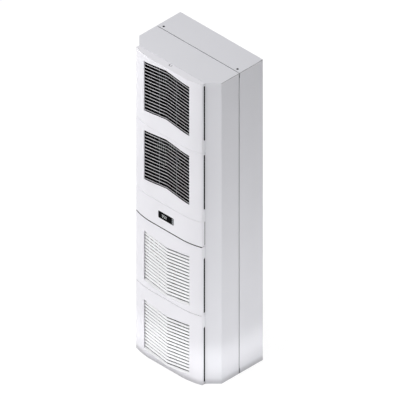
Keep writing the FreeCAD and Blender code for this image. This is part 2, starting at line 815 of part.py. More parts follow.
def lifting_inserts():
    """Two inserts in the top for lifting eyes."""
    pieces = []
    for side in (-1, 1):
        piece = insert()
        piece.translate(V(side * (WIDTH / 2 - LIFT_EDGE_X), at(LIFT_BACK), HEIGHT))
        pieces.append(piece)
    return Part.makeCompound(pieces)


def fan_heights():
    """Axis heights of the two condenser fans, centred behind the upper louvre fields."""
    return [sum(field_span(base, flip)) / 2 for base, flip in module_bases() if not flip]


def fan_shroud():
    """Black plate behind the upper openings with a short duct round each condenser fan."""
    spans = [field_span(base, flip) for base, flip in module_bases() if not flip]
    low = min(span[0] for span in spans) - OPENING_MARGIN - SHROUD_LAP
    high = max(span[1] for span in spans) + OPENING_MARGIN + SHROUD_LAP
    half = OPENING_HALF + SHROUD_LAP / 2
    bore = FAN_D / 2 + FAN_TIP_GAP
    back = HOOD_INSIDE - SHROUD_T
    shapes = [block(-half, half, back, HOOD_INSIDE, low, high)]
    shapes += [rod(0, z, back - MOUTH_DEPTH, back + OVER, bore + SHROUD_T) for z in fan_heights()]
    bores = [rod(0, z, back - MOUTH_DEPTH - OVER, HOOD_INSIDE + OVER, bore) for z in fan_heights()]
    return fused(shapes).cut(bores)


def wire_ring(z, back, radius):
    """Ring of guard wire about a depth axis on the centre plane."""
    return Part.makeTorus(radius, WIRE_R, V(0, at(back), z), V(0, 1, 0))


def exhaust_guard(z):
    """Wire guard across an upper opening; its centre plate carries the fan motor."""
    back = COVER_FACE + WIRE_R
    front = back + 1.8 * WIRE_R
    reach = OPENING_HALF + GUARD_LAP
    outer = FAN_D / 2 - WIRE_R
    step = (outer - GUARD_INNER) / (GUARD_RINGS - 1)
    plate = rod(0, z, COVER_FACE, COVER_FACE + GUARD_PLATE_T, STATOR_D / 2 + GUARD_PLATE_T)
    shapes = [plate] + [wire_ring(z, front, GUARD_INNER + step * i) for i in range(GUARD_RINGS)]
    for offset in (-GUARD_BAR, GUARD_BAR):
        bar = Part.makeCylinder(WIRE_R, 2 * reach, V(-reach, at(back), z + offset), V(1, 0, 0))
        upright_bar = post(offset, back, z - outer, z + outer, WIRE_R)
        shapes += [bar, upright_bar]
    return fused(shapes)


def condenser_fan_motor(z):
    """Motor base behind the guard plate with the shaft the rotor runs on."""
    base = COVER_FACE - STATOR_L
    shaft_end = base - RUN_GAP - 0.8 * FAN_HUB_L
    body = rod(0, z, base, COVER_FACE, STATOR_D / 2)
    return fused([body, rod(0, z, shaft_end, base + OVER, SHAFT_R)])


def fan_section(radius, chord, pitch, middle):
    """Thin blade section across the radius, leaning by the pitch angle."""
    lean = math.radians(pitch)
    run = chord / 2 * math.cos(lean)
    rise = chord / 2 * math.sin(lean)
    thick = FAN_BLADE_T / 2
    corners = [(-run, -rise - thick), (run, rise - thick), (run, rise + thick), (-run, -rise + thick)]
    points = [V(t, at(middle + d), radius) for t, d in corners]
    return Part.makePolygon(points + points[:1])


def condenser_fan_rotor(z):
    """External-rotor hub with swept axial blades, bored for the motor shaft."""
    front = COVER_FACE - STATOR_L - RUN_GAP
    middle = front - FAN_HUB_L / 2
    hub = rod(0, 0, front - FAN_HUB_L, front, FAN_HUB_D / 2)
    rear = [e for e in hub.Edges if abs(e.CenterOfMass.y - at(front - FAN_HUB_L)) < 0.01]
    hub = hub.makeFillet(FAN_HUB_ROUND, rear)
    root = fan_section(FAN_HUB_D / 2 - FAN_HUB_ROUND, FAN_ROOT_CHORD, FAN_ROOT_PITCH, middle)
    tip = fan_section(FAN_D / 2 + FAN_TIP_GAP, FAN_TIP_CHORD, FAN_TIP_PITCH, middle)
    blade_body = Part.makeLoft([root, tip], True, True).common(rod(0, 0, 0, DEPTH, FAN_D / 2))
    blades = []
    for i in range(FAN_BLADES):
        copy = blade_body.copy()
        copy.rotate(V(0, 0, 0), V(0, 1, 0), 360 / FAN_BLADES * i)
        blades.append(copy)
    body = fused([hub] + blades).cut(rod(0, 0, 0, DEPTH, SHAFT_R + SHAFT_CLEAR))
    body.translate(V(0, 0, z))
    return body


def baffle_height():
    """Underside of the baffle that closes the exhaust chamber from below."""
    return 2 * MODULE_H + STRIP_H + BAFFLE_RISE


def chamber_baffle():
    """Shelf between intake and exhaust chambers that carries the condenser coil."""
    low = baffle_height()
    plate = hood_prism(SHEET + DISPLAY_CLEAR, COIL_BACK, low, low + SHEET)
    bore = LINE_R + LINE_CLEAR
    return plate.cut([post(x, LINE_BACK, low - OVER, low + SHEET + OVER, bore) for x in (-LINE_X, LINE_X)])


def condenser_coil():
    """Fin block with folded end plates."""
    low = baffle_height() + SHEET
    back = COIL_BACK
    frame = block(-COIL_HALF, COIL_HALF, back, back + COIL_T, low, COIL_TOP)
    side = COIL_HALF - COIL_PLATE
    window = block(-side, side, back - OVER, back + COIL_T + OVER, low + COIL_PLATE, COIL_TOP - COIL_PLATE)
    fins = block(-COIL_HALF, COIL_HALF, back + FIN_INSET, back + COIL_T - FIN_INSET, low, COIL_TOP)
    return fused([frame.cut(window), fins])


def return_bend(x, side, pitch):
    """Half-round tube bend standing on an end plate at the origin height."""
    loop = Part.makeTorus(pitch / 2, TUBE_R, V(x, 0, 0), V(0, 1, 0))
    reach = pitch / 2 + TUBE_R + 1
    edge = x if side > 0 else x - reach
    return loop.common(Part.makeBox(reach, 2 * reach, 2 * reach, V(edge, -reach, -reach)))


def condenser_bends():
    """Return bends on both end plates of the condenser coil."""
    low = baffle_height() + COIL_BEND_END
    step = (COIL_TOP - COIL_BEND_END - low) / (COIL_ROWS - 1)
    bends = []
    for side in (-1, 1):
        for i in range(COIL_ROWS):
            bend = return_bend(side * COIL_HALF, side, COIL_BEND)
            bend.translate(V(0, at(LINE_BACK), low + step * i))
            bends.append(bend)
    return Part.makeCompound(bends)


def nozzle_wall(thick):
    """Quarter ellipse from the nozzle's seat to its throat, moved out along its normal."""
    throat = THROAT_D / 2
    span = INLET_D / 2 - throat
    length = IMPELLER_BACK + NOZZLE_LAP - NOZZLE_SEAT
    points = []
    for step in range(7):
        turn = math.radians(15 * step)
        radius = throat + span * (1 - math.sin(turn)) + thick * math.sin(turn)
        back = NOZZLE_SEAT + length - (length - thick) * math.cos(turn)
        points.append(V(radius, at(back), 0))
    curve = Part.BSplineCurve()
    curve.interpolate(points)
    return curve.toShape(), points


def inlet_nozzle():
    """Bell-mouthed ring from a seat behind the round rear opening to the impeller's eye."""
    inner, inside = nozzle_wall(0)
    outer, outside = nozzle_wall(SHEET)
    seat = INLET_D / 2
    rim = seat + NOZZLE_RIM
    corners = [(seat, SHEET), (rim, SHEET), (rim, 2 * SHEET), (seat + SHEET, 2 * SHEET)]
    corners.append((seat + SHEET, NOZZLE_SEAT + SHEET))
    path = [inside[0]] + [V(r, at(d), 0) for r, d in corners] + [outside[0]]
    edges = [Part.makeLine(a, b) for a, b in zip(path, path[1:])]
    edges += [outer, Part.makeLine(outside[-1], inside[-1]), inner]
    body = Part.Face(Part.Wire(Part.__sortEdges__(edges))).revolve(V(0, 0, 0), V(0, 1, 0), 360)
    body.translate(V(0, 0, INLET_Z))
    return body


def wire_grid(rows, columns, reach_at, rise_at):
    """Straight wires laid across and, touching them from inside, upright stays."""
    wires = []
    for z in rows:
        start = V(-reach_at(z), at(WIRE_R), z)
        wires.append(Part.makeCylinder(WIRE_R, 2 * reach_at(z), start, V(1, 0, 0)))
    for x in columns:
        low, high = rise_at(x)
        wires.append(post(x, 3 * WIRE_R, low, high, WIRE_R))
    return Part.makeCompound(wires)


def spread(count, half):
    """Evenly spaced places across a span, half a step from its ends."""
    return [half * ((2 * i + 1) / count - 1) for i in range(count)]


def inlet_guard():
    """Welded wire grid that fills the round rear opening."""
    outer = INLET_D / 2

    def chord(offset):
        return math.sqrt(outer ** 2 - (abs(offset) + WIRE_R) ** 2)

    def rise(x):
        return INLET_Z - chord(x), INLET_Z + chord(x)

    rows = [INLET_Z + z for z in spread(INLET_ROWS, outer)]
    return wire_grid(rows, spread(INLET_STAYS, outer), lambda z: chord(z - INLET_Z), rise)


def outlet_guard():
    """Welded wire grid that fills the rear outlet."""
    half = OUTLET_H / 2
    middle = OUTLET_LOW + half
    rows = [middle + z for z in spread(OUTLET_ROWS, half)]
    columns = spread(OUTLET_STAYS, OUTLET_HALF)
    return wire_grid(rows, columns, lambda z: OUTLET_HALF, lambda x: (OUTLET_LOW, OUTLET_LOW + OUTLET_H))


def evaporator_fan_motor():
    """Motor with mounting flange on the partition plate and the impeller's shaft."""
    base = IMPELLER_BACK + IMPELLER_L + RUN_GAP
    flange = PLATE_BACK - EVAP_MOTOR_FLANGE_T
    shapes = [rod(0, INLET_Z, base, PLATE_BACK, EVAP_MOTOR_D / 2)]
    shapes.append(rod(0, INLET_Z, flange, PLATE_BACK, EVAP_MOTOR_FLANGE_D / 2))
    shapes.append(rod(0, INLET_Z, base - EVAP_SHAFT_L, base + OVER, SHAFT_R))
    return fused(shapes)


def vane(front, back):
    """Backward-curved impeller vane as a bent strip."""
    inner = IMPELLER_EYE + 2 * VANE_T
    outer = IMPELLER_D / 2 - 2 * VANE_T
    near = []
    far = []
    for i in range(6):
        share = i / 5
        radius = inner + (outer - inner) * share
        angle = math.radians(-VANE_SWEEP * share)
        for side, offset in ((near, -VANE_T / 2), (far, VANE_T / 2)):
            side.append(((radius + offset) * math.cos(angle), (radius + offset) * math.sin(angle)))
    return facing(near + far[::-1], back, front)


def evaporator_fan_rotor():
    """Radial impeller: back disc, hub, curved vanes and front ring."""
    rear = IMPELLER_BACK
    front = rear + IMPELLER_L
    shapes = [rod(0, 0, front - DISC_T, front, IMPELLER_D / 2)]
    shapes.append(rod(0, 0, front - IMPELLER_HUB_L, front, IMPELLER_HUB_D / 2))
    shapes.append(ring(0, 0, rear, rear + DISC_T, IMPELLER_D / 2, IMPELLER_EYE))
    pattern = vane(front - DISC_T / 2, rear + DISC_T / 2)
    for i in range(IMPELLER_BLADES):
        copy = pattern.copy()
        copy.rotate(V(0, 0, 0), V(0, 1, 0), 360 / IMPELLER_BLADES * i)
        shapes.append(copy)
    body = fused(shapes).cut(rod(0, 0, 0, DEPTH, SHAFT_R + SHAFT_CLEAR))
    body.translate(V(0, 0, INLET_Z))
    return body


def evap_point(up):
    """Distance from the back and height of a point up the leaning evaporator's middle."""
    lean = math.radians(EVAP_TILT)
    return EVAP_BACK + up * math.sin(lean), EVAP_LOW + up * math.cos(lean)


def leaned(shape):
    """Evaporator shape drawn upright from the origin, leaned into place."""
    shape.rotate(V(0, 0, 0), V(1, 0, 0), EVAP_TILT)
    shape.translate(V(0, at(EVAP_BACK), EVAP_LOW))
    return shape


def evaporator_coil():
    """Leaning fin block with end plates."""
    half = EVAP_T / 2
    wide = 2 * EVAP_HALF
    plate = COIL_PLATE
    frame = Part.makeBox(wide, EVAP_T, EVAP_H, V(-EVAP_HALF, -half, 0))
    corner = V(plate - EVAP_HALF, -half - OVER, plate)
    window = Part.makeBox(wide - 2 * plate, EVAP_T + 2 * OVER, EVAP_H - 2 * plate, corner)
    fins = Part.makeBox(wide, EVAP_T - 2 * FIN_INSET, EVAP_H, V(-EVAP_HALF, FIN_INSET - half, 0))
    return leaned(fused([frame.cut(window), fins]))


def evaporator_bends():
    """Return bends on both end plates of the evaporator."""
    bends = []
    for side in (-1, 1):
        for i in range(EVAP_ROWS):
            bend = return_bend(side * EVAP_HALF, side, EVAP_BEND)
            bend.translate(V(0, 0, EVAP_BEND_END + (EVAP_H - 2 * EVAP_BEND_END) / (EVAP_ROWS - 1) * i))
            bends.append(leaned(bend))
    return Part.makeCompound(bends)


def condensate_pan():
    """Folded pan under the evaporator with a drain outlet."""
    half = EVAP_HALF + PAN_OVER
    low = EVAP_LOW - PAN_DROP
    high = low + PAN_DEPTH
    pan = block(-half, half, PAN_BACK, PAN_FRONT, low, high)
    half -= SHEET
    inside = block(-half, half, PAN_BACK + SHEET, PAN_FRONT - SHEET, low + SHEET, high + OVER)
    spout = post(pan_outlet(), DRAIN_BACK, low - SPOUT_L, low + SHEET, DRAIN_R)
    drain = post(pan_outlet(), DRAIN_BACK, low - SPOUT_L - OVER, low + SHEET + OVER, DRAIN_R - SPOUT_WALL)
    return pan.cut(inside).fuse(spout).cut(drain)


def pan_outlet():
    """Side position of the pan's drain outlet."""
    return -LINE_X + 2.4 * DRAIN_BEND


def drain_hose():
    """Drain hose from the pan outlet down to the base opening."""
    top = EVAP_LOW - PAN_DROP - SPOUT_L
    knee = top - DRAIN_KNEE
    path = [(pan_outlet(), DRAIN_BACK, top), (pan_outlet(), DRAIN_BACK, knee)]
    path += [(-LINE_X, DRAIN_BACK, knee), (-LINE_X, DRAIN_BACK, SHEET / 2)]
    return tube(path, DRAIN_R, DRAIN_BEND)


def supply_connector():
    """Pluggable supply terminal in the back wall with recessed contact chambers."""
    left = SUPPLY_X - SUPPLY_W / 2
    right = SUPPLY_X + SUPPLY_W / 2
    low = SUPPLY_Z - SUPPLY_H / 2
    high = SUPPLY_Z + SUPPLY_H / 2
    lip = SUPPLY_LIP
    body = block(left, right, SUPPLY_SET, SUPPLY_L, low, high)
    rim = block(left - lip, right + lip, SHEET, SHEET + SUPPLY_LIP_T, low - lip, high + lip)
    chambers = []
    for offset in spread(POLES, SUPPLY_W / 2):
        x = SUPPLY_X + offset
        z = SUPPLY_Z - POLE_H / 2
        chambers.append(block(x - POLE_W / 2, x + POLE_W / 2, -OVER, POLE_DEPTH, z, z + POLE_H))
    return fused([body, rim]).cut(chambers)


def comp_back():
    """Distance of the compressor's axis from the back."""
    return (PLATE_FRONT + HOOD_INSIDE) / 2


def foot_places():
    """Centres of the compressor's three rubber feet."""
    reach = COMP_R + COMP_FOOT
    turns = [math.radians(120 * k) for k in range(3)]
    return [(COMP_X + reach * math.cos(a), comp_back() + reach * math.sin(a)) for a in turns]


def compressor_shelf():
    """Folded bracket on the partition plate that carries the compressor."""
    left = COMP_X - COMP_R - SHELF_OVER
    right = ACCU_X + ACCU_R + SHELF_OVER
    low = SHELF_Z - SHELF_T
    shelf = block(left, right, PLATE_FRONT, SHELF_FRONT, low, SHELF_Z)
    flange = block(left, right, PLATE_FRONT, PLATE_FRONT + SHELF_T, low, SHELF_Z + SHELF_FLANGE)
    lip = block(left, right, SHELF_FRONT - SHELF_T, SHELF_FRONT, SHELF_Z - SHELF_LIP, SHELF_Z)
    bore = FOOT_BOLT_R + FOOT_CLEAR
    holes = [post(x, d, low - OVER, SHELF_Z + OVER, bore) for x, d in foot_places()]
    return fused([shelf, flange, lip]).cut(holes)


def compressor_grommets():
    """Three rubber feet under the compressor."""
    feet = []
    for x, d in foot_places():
        foot = post(x, d, SHELF_Z, SHELF_Z + GROMMET_H, GROMMET_R)
        bore = post(x, d, SHELF_Z - OVER, SHELF_Z + GROMMET_H + OVER, FOOT_BOLT_R + FOOT_CLEAR)
        feet.append(foot.cut(bore))
    return Part.makeCompound(feet)


def compressor_bolts():
    """Shoulder bolts through the feet."""
    top = SHELF_Z + GROMMET_H + ARM_T
    bolts = []
    for x, d in foot_places():
        head = post(x, d, top, top + FOOT_HEAD_T, FOOT_HEAD_R)
        bolts.append(head.fuse(post(x, d, SHELF_Z - FOOT_TAIL, top + OVER, FOOT_BOLT_R)))
    return Part.makeCompound(bolts)


def comp_span():
    """Lower and upper end of the compressor's shell."""
    low = SHELF_Z + GROMMET_H
    return low, low + COMP_H


def compressor():
    """Welded compressor shell with domed top, foot arms and discharge stub."""
    low, high = comp_span()
    shell = post(COMP_X, comp_back(), low + ARM_T / 2, high, COMP_R)
    rim = [e for e in shell.Edges if abs(e.CenterOfMass.z - high) < 0.01]
    shell = shell.makeFillet(COMP_R / 2, rim)
    shapes = [shell, post(COMP_X, LINE_BACK, high - STUB_L, high + STUB_L, LINE_R + STUB_WALL)]
    middle = DEPTH / 2
    reach = COMP_R + COMP_FOOT
    for k in range(3):
        arm = block(0, reach, middle - ARM_R, middle + ARM_R, low, low + ARM_T)
        arm = arm.fuse(post(reach, middle, low, low + ARM_T, ARM_R))
        arm.rotate(V(0, 0, 0), V(0, 0, 1), -120 * k)
        arm.translate(V(COMP_X, at(comp_back()), 0))
        shapes.append(arm)
    bore = FOOT_BOLT_R + FOOT_CLEAR
    return fused(shapes).cut([post(x, d, low - OVER, low + ARM_T + OVER, bore) for x, d in foot_places()])


def terminal_cover():
    """Cap over the compressor's terminals."""
    high = comp_span()[1]
    half = TERMINAL_W / 2
    back = LINE_BACK + LINE_R + STUB_WALL + LINE_CLEAR
    cap = block(COMP_X - half, COMP_X + half, back, back + TERMINAL_H, high, high + TERMINAL_H)
    return cap.makeFillet(MOULD_WALL, [e for e in cap.Edges if e.CenterOfMass.z > high + OVER])


def accumulator():
    """Suction accumulator with domed ends beside the compressor."""
    can = post(ACCU_X, SUCTION_BACK, ACCU_Z, ACCU_Z + ACCU_H, ACCU_R)
    return can.makeFillet(ACCU_R / 2, [e for e in can.Edges if len(e.Vertexes) == 1])


def suction_line():
    """Suction tube from the evaporator to the accumulator, and on into the compressor."""
    back, high = evap_point(EVAP_H - EVAP_LINE_END)
    path = [(-EVAP_HALF, back, high), (-LINE_X, back, high), (-LINE_X, back, PASS_Z)]
    path += [(-LINE_X, SUCTION_BACK, PASS_Z), (-LINE_X, SUCTION_BACK, SUCTION_Z)]
    path += [(ACCU_X, SUCTION_BACK, SUCTION_Z), (ACCU_X, SUCTION_BACK, ACCU_Z + ACCU_H)]
    away = math.hypot(ACCU_X - COMP_X, SUCTION_BACK - comp_back())
    share = COMP_R / away
    touch = (COMP_X + share * (ACCU_X - COMP_X), comp_back() + share * (SUCTION_BACK - comp_back()))
    entry = ACCU_Z - LINE_BEND - ACCU_DROP
    short = [(ACCU_X, SUCTION_BACK, ACCU_Z), (ACCU_X, SUCTION_BACK, entry), (touch[0], touch[1], entry)]
    return Part.makeCompound([tube(path, LINE_R, LINE_BEND), tube(short, LINE_R, LINE_BEND)])


def discharge_line():
    """Hot-gas tube from the compressor up to the top of the condenser."""
    low = comp_span()[1] + STUB_L
    high = COIL_TOP - COIL_LINE_END
    path = [(COMP_X, LINE_BACK, low), (COMP_X, LINE_BACK, DISCHARGE_Z), (-LINE_X, LINE_BACK, DISCHARGE_Z)]
    path += [(-LINE_X, LINE_BACK, high), (-COIL_HALF, LINE_BACK, high)]
    return tube(path, LINE_R, LINE_BEND)


def liquid_line():
    """Liquid tube from the condenser to the dryer, and from the dryer to the valve."""
    top = DRYER_Z + DRYER_H
    coil_end = baffle_height() + COIL_LINE_END + LINE_BEND / 2
    first = [(COIL_HALF, LINE_BACK, coil_end), (LINE_X, LINE_BACK, coil_end), (LINE_X, LINE_BACK, top)]
    back = evap_point(EVAP_FEED)[0] + VALVE / 2
    second = [(LINE_X, LINE_BACK, DRYER_Z), (LINE_X, LINE_BACK, PASS_Z), (LINE_X, back, PASS_Z)]
    return Part.makeCompound([tube(first, LIQUID_R, LINE_BEND), tube(second, LIQUID_R, LINE_BEND)])


def filter_dryer():
    """Spun copper dryer with tapered ends in the liquid line."""
    neck = LIQUID_R + STUB_WALL
    shoulder = DRYER_NECK + DRYER_TAPER
    profile = [(0, 0), (neck, 0), (neck, DRYER_NECK), (DRYER_R, shoulder), (DRYER_R, DRYER_H - shoulder)]
    profile += [(neck, DRYER_H - DRYER_NECK), (neck, DRYER_H), (0, DRYER_H)]
    corners = [V(r, 0, z) for r, z in profile]
    body = Part.Face(Part.makePolygon(corners + corners[:1])).revolve(V(0, 0, 0), V(0, 0, 1), 360)
    body.translate(V(LINE_X, at(LINE_BACK), DRYER_Z))
    return body


def expansion_valve():
    """Brass valve body with a round cap."""
    middle = evap_point(EVAP_FEED)[0]
    half = VALVE / 2
    body = block(LINE_X - half, LINE_X + half, middle - half, middle + half, PASS_Z - half, PASS_Z + half)
    cap = post(LINE_X, middle, PASS_Z - half - VALVE_CAP_L, PASS_Z - half + OVER, VALVE_CAP_R)
    return fused([body, cap])


def evaporator_feed():
    """Feed tube from the valve into the evaporator."""
    back, high = evap_point(EVAP_FEED)
    path = [(LINE_X, back, PASS_Z + VALVE / 2), (LINE_X, back, high), (EVAP_HALF, back, high)]
    return tube(path, LIQUID_R, LINE_BEND)


def ebox_corner():
    """Left side and underside of the electronics box."""
    return EBOX_LEFT, 2 * MODULE_H - EBOX_H + EBOX_LIFT


def electronics_box():
    """Open folded box on the partition plate with board studs and a cable opening."""
    left, low = ebox_corner()
    right = left + EBOX_W
    high = low + EBOX_H
    wall = EBOX_WALL
    back = PLATE_FRONT
    front = back + EBOX_T
    box = block(left, right, back, front, low, high)
    inside = block(left + wall, right - wall, back + wall, front + OVER, low + wall, high - wall)
    cable = post(left + EBOX_W / 2, back + EBOX_T / 2, low - OVER, low + wall + OVER, EBOX_CABLE_R)
    studs = [rod(x, z, back + wall / 2, back + wall + EBOX_STUD, EBOX_STUD_R) for x, z in stud_places()]
    return fused([box.cut([inside, cable])] + studs)


def stud_places():
    """Corners of the control board."""
    left, low = ebox_corner()
    inset = 2 * BOARD_MARGIN
    sides = (left + inset, left + EBOX_W - inset)
    return [(x, z) for x in sides for z in (low + inset, low + EBOX_H - inset)]


def control_board():
    """Control board with relays and a terminal row."""
    left, low = ebox_corner()
    middle = left + EBOX_W / 2
    edge = BOARD_MARGIN
    back = PLATE_FRONT + EBOX_WALL + EBOX_STUD
    root = back + BOARD_T / 2
    face = back + BOARD_T
    shapes = [block(left + edge, left + EBOX_W - edge, back, face, low + edge, low + EBOX_H - edge)]
    relay_z = low + 0.65 * EBOX_H
    for offset in spread(RELAYS, EBOX_W / 2 - edge):
        x = middle + offset - RELAY_W / 2
        shapes.append(block(x, x + RELAY_W, root, face + RELAY_T, relay_z, relay_z + RELAY_H))
    row_z = low + 2 * edge
    half = EBOX_W / 2 - 4 * edge
    shapes.append(block(middle - half, middle + half, root, face + TERMINALS_H, row_z, row_z + TERMINALS_H))
    return fused(shapes)


def run_capacitor():
    """Motor capacitor standing on the box floor in front of the board."""
    left, low = ebox_corner()
    x = left + EBOX_W - EBOX_WALL - BOARD_MARGIN - CAPACITOR_R
    middle = PLATE_FRONT + EBOX_T - BOARD_MARGIN - CAPACITOR_R
    return post(x, middle, low + EBOX_WALL, low + EBOX_WALL + CAPACITOR_H, CAPACITOR_R)


def electronics_lid():
    """Lid with a turned edge over the electronics box."""
    left, low = ebox_corner()
    right = left + EBOX_W
    high = low + EBOX_H
    front = PLATE_FRONT + EBOX_T
    back = front - EBOX_LID
    gap = DISPLAY_CLEAR
    edge = EBOX_WALL + gap
    lid = block(left - edge, right + edge, back, front + EBOX_WALL, low - edge, high + edge)
    return lid.cut(block(left - gap, right + gap, back - OVER, front, low - gap, high + gap))


def assembly():
    """Every node of the unit by name."""
    pattern = grille()
    names = ("grille_upper_top", "grille_upper_bottom", "grille_lower_top", "grille_lower_bottom")
    nodes = {}
    for name, (base, flip) in zip(names, module_bases()):
        nodes[name] = placed_grille(pattern, base, flip)
    for name, z in zip(("upper", "lower"), fan_heights()):
        nodes["exhaust_guard_" + name] = exhaust_guard(z)
        nodes["condenser_fan_motor_" + name] = condenser_fan_motor(z)
        nodes["condenser_fan_rotor_" + name] = condenser_fan_rotor(z)
    for name, (x, z) in zip(("up", "set", "down"), key_places()):
        nodes["key_" + name] = key(x, z)
    makers = (rear_tray, front_cover, seam_gasket, partition_plate, line_grommets, cover_ties, cover_screws,
              mount_inserts, lifting_inserts, display_panel, strip_seal, side_foam, display_bezel,
              display_window, display_board, fan_shroud, chamber_baffle, condenser_coil, condenser_bends,
              inlet_nozzle, inlet_guard,
              outlet_guard, evaporator_fan_motor, evaporator_fan_rotor, evaporator_coil, evaporator_bends,
              condensate_pan, drain_hose, supply_connector, compressor_shelf, compressor_grommets,
              compressor_bolts, compressor, terminal_cover, accumulator, suction_line, discharge_line,
              liquid_line, filter_dryer, expansion_valve, evaporator_feed, electronics_box, control_board,
              run_capacitor, electronics_lid)
    for maker in makers:
        nodes[maker.__name__] = maker()
    return nodes


os.makedirs("parts", exist_ok=True)
for node, shape in assembly().items():
    shape.exportStep("parts/" + node + ".step")
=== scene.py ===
"""Looks of a tall enclosure cooling unit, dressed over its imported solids.

Everything sits in the solids' own frame: X to the right, -Y to the front, Z up.
Shapes are worked out in millimetres, depths counted forward from the back face.
"""
import json
import math

import bpy
import numpy as np
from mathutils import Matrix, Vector


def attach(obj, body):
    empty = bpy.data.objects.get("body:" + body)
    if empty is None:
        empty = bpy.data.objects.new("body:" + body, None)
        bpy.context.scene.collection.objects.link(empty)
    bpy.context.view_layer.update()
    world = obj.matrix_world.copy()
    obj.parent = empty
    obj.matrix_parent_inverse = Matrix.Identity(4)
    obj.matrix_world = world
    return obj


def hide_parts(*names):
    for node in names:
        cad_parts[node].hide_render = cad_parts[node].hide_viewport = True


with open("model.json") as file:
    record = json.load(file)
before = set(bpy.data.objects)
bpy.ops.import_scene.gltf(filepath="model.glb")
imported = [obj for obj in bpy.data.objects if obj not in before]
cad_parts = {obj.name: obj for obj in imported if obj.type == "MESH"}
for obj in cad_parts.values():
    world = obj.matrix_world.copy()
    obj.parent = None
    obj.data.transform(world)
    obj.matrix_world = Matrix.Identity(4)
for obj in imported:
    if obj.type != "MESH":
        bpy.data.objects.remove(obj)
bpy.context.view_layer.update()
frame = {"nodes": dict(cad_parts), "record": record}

# Sizes of the solids
DEPTH, HEIGHT = 340.0, 1580.0
COVER_FACE, COVER_BACK, REST = 302.0, 146.5, 0.4
STRIP_H = 132.0
MODULE_H = (HEIGHT - STRIP_H) / 4
MODULE_GAP, STRIP_GAP = 0.8, 3.0
GRILLE_H = MODULE_H - MODULE_GAP
FACE_HALF, FLAT_HALF, FACE_FALL = 200.0, 90.0, 19.0
FACE_R = ((FACE_HALF - FLAT_HALF) ** 2 + FACE_FALL ** 2) / (2 * FACE_FALL)
WALL, EDGE_R = 3.0, 2.0
SIDE_GAP, STRIP_SIDE_GAP = 8.5, 3.5
END_CLOSED, TAB_LENGTH, TAB_BEVEL = 13.0, 60.0, 6.0
RECESS_R, RECESS_BACK, RECESS = 8.5, 9.0, 2.0
FIELD_HALF, FIELD_LOW, FIELD_TOP = 137.5, 68.0, 35.0
CHEVRON, BLADES, BLADE_EDGE, BLADE_FIRST = 19.7, 16, 2.5, 5.65
PITCH = (MODULE_H - FIELD_LOW - FIELD_TOP + BLADE_EDGE - BLADE_FIRST) / (BLADES - 1)
BLADE_SET, BLADE_BOW = 4.7, 3.6
RAIL_OUT, RAIL_T, RAIL_DEPTH, RAIL_OVER = 9.5, 3.0, 13.0, 8.0
RIB_X, RIB_T = 52.0, 1.6
OPENING_SIDE, OPENING_MARGIN = 7.5, 4.0
PEG_X, PEG_END = FACE_HALF - 20, 40.0
DISPLAY_W, DISPLAY_H, DISPLAY_R, DISPLAY_CLEAR = 93.0, 36.0, 5.0, 0.3
DISPLAY_Z = 2 * MODULE_H + STRIP_H / 2
GUARD_BAR, GUARD_OUTER = 28.0, 121.0

# Sizes that only the looks have: blades and ribs stand a little shorter than the solids' so that the fields look open
BLADE_RUN, RIB_LAP, RIB_DEPTH = 5.7, 0.3, 3.3
SKIN_T, LIP_R, RING_W = 2.4, 0.7, 3.0
FOAM_T, FOAM_SET, FOAM_CLEAR = 0.15, 0.3, 0.2
FIGURE_DEPTHS = (DEPTH - 0.3, DEPTH - 0.1)
SMOOTH_BELOW = math.radians(35)
TINY = 0.01

GRILLES = {
    "grille_upper_top": (2 * MODULE_H + STRIP_H + MODULE_H, False),
    "grille_upper_bottom": (2 * MODULE_H + STRIP_H, False),
    "grille_lower_top": (MODULE_H, True),
    "grille_lower_bottom": (0.0, True),
}


# Materials

def linear(code):
    """Linear colour of an sRGB hex value."""
    parts = [int(code[i:i + 2], 16) / 255 for i in (1, 3, 5)]
    return [c / 12.92 if c <= 0.04045 else ((c + 0.055) / 1.055) ** 2.4 for c in parts] + [1.0]


def add(tree, kind, inputs=None, **settings):
    """One node: settings are its properties, inputs are numbers, colours or other nodes' sockets."""
    node = tree.nodes.new(kind)
    for key, value in settings.items():
        setattr(node, key, value)
    for key, value in (inputs or {}).items():
        if isinstance(value, bpy.types.NodeSocket):
            tree.links.new(value, node.inputs[key])
        else:
            node.inputs[key].default_value = value
    return node


def bare(name):
    """A new material with an empty node tree."""
    look = bpy.data.materials.new(name)
    look.use_nodes = True
    look.node_tree.nodes.clear()
    return look, look.node_tree


def finish_of(name, low, high, patch_mm, rough, grit_mm, bump_mm, metallic=0.0, ior=1.5, coat=0.0, glint=0.5,
              grit_kind="NOISE"):
    """Procedural finish: two close tones in soft patches, and a finer grit that the roughness and the bump follow.

    Sizes of patches and grit are real ones; the bump is the grit's real height."""
    look, tree = bare(name)
    place = add(tree, "ShaderNodeTexCoord").outputs["Object"]
    patch = add(tree, "ShaderNodeTexNoise", {"Vector": place, "Scale": 1000 / patch_mm, "Detail": 3.0})
    tone = add(tree, "ShaderNodeMix", {0: patch.outputs["Fac"], 6: linear(low), 7: linear(high)}, data_type="RGBA")
    if grit_kind == "NOISE":
        grit = add(tree, "ShaderNodeTexNoise", {"Vector": place, "Scale": 1000 / grit_mm, "Detail": 2.0}).outputs["Fac"]
    else:
        grit = add(tree, "ShaderNodeTexVoronoi", {"Vector": place, "Scale": 1000 / grit_mm}).outputs["Distance"]
    sheen = add(tree, "ShaderNodeMapRange", {0: grit, 3: rough[0], 4: rough[1]})
    bump = add(tree, "ShaderNodeBump", {"Height": grit, "Strength": 0.35, "Distance": bump_mm / 1000})
    shader = add(tree, "ShaderNodeBsdfPrincipled", {
        "Base Color": tone.outputs[2], "Roughness": sheen.outputs[0], "Normal": bump.outputs[0],
        "Metallic": metallic, "IOR": ior, "Specular IOR Level": glint, "Coat Weight": coat})
    add(tree, "ShaderNodeOutputMaterial", {"Surface": shader.outputs[0]})
    return look


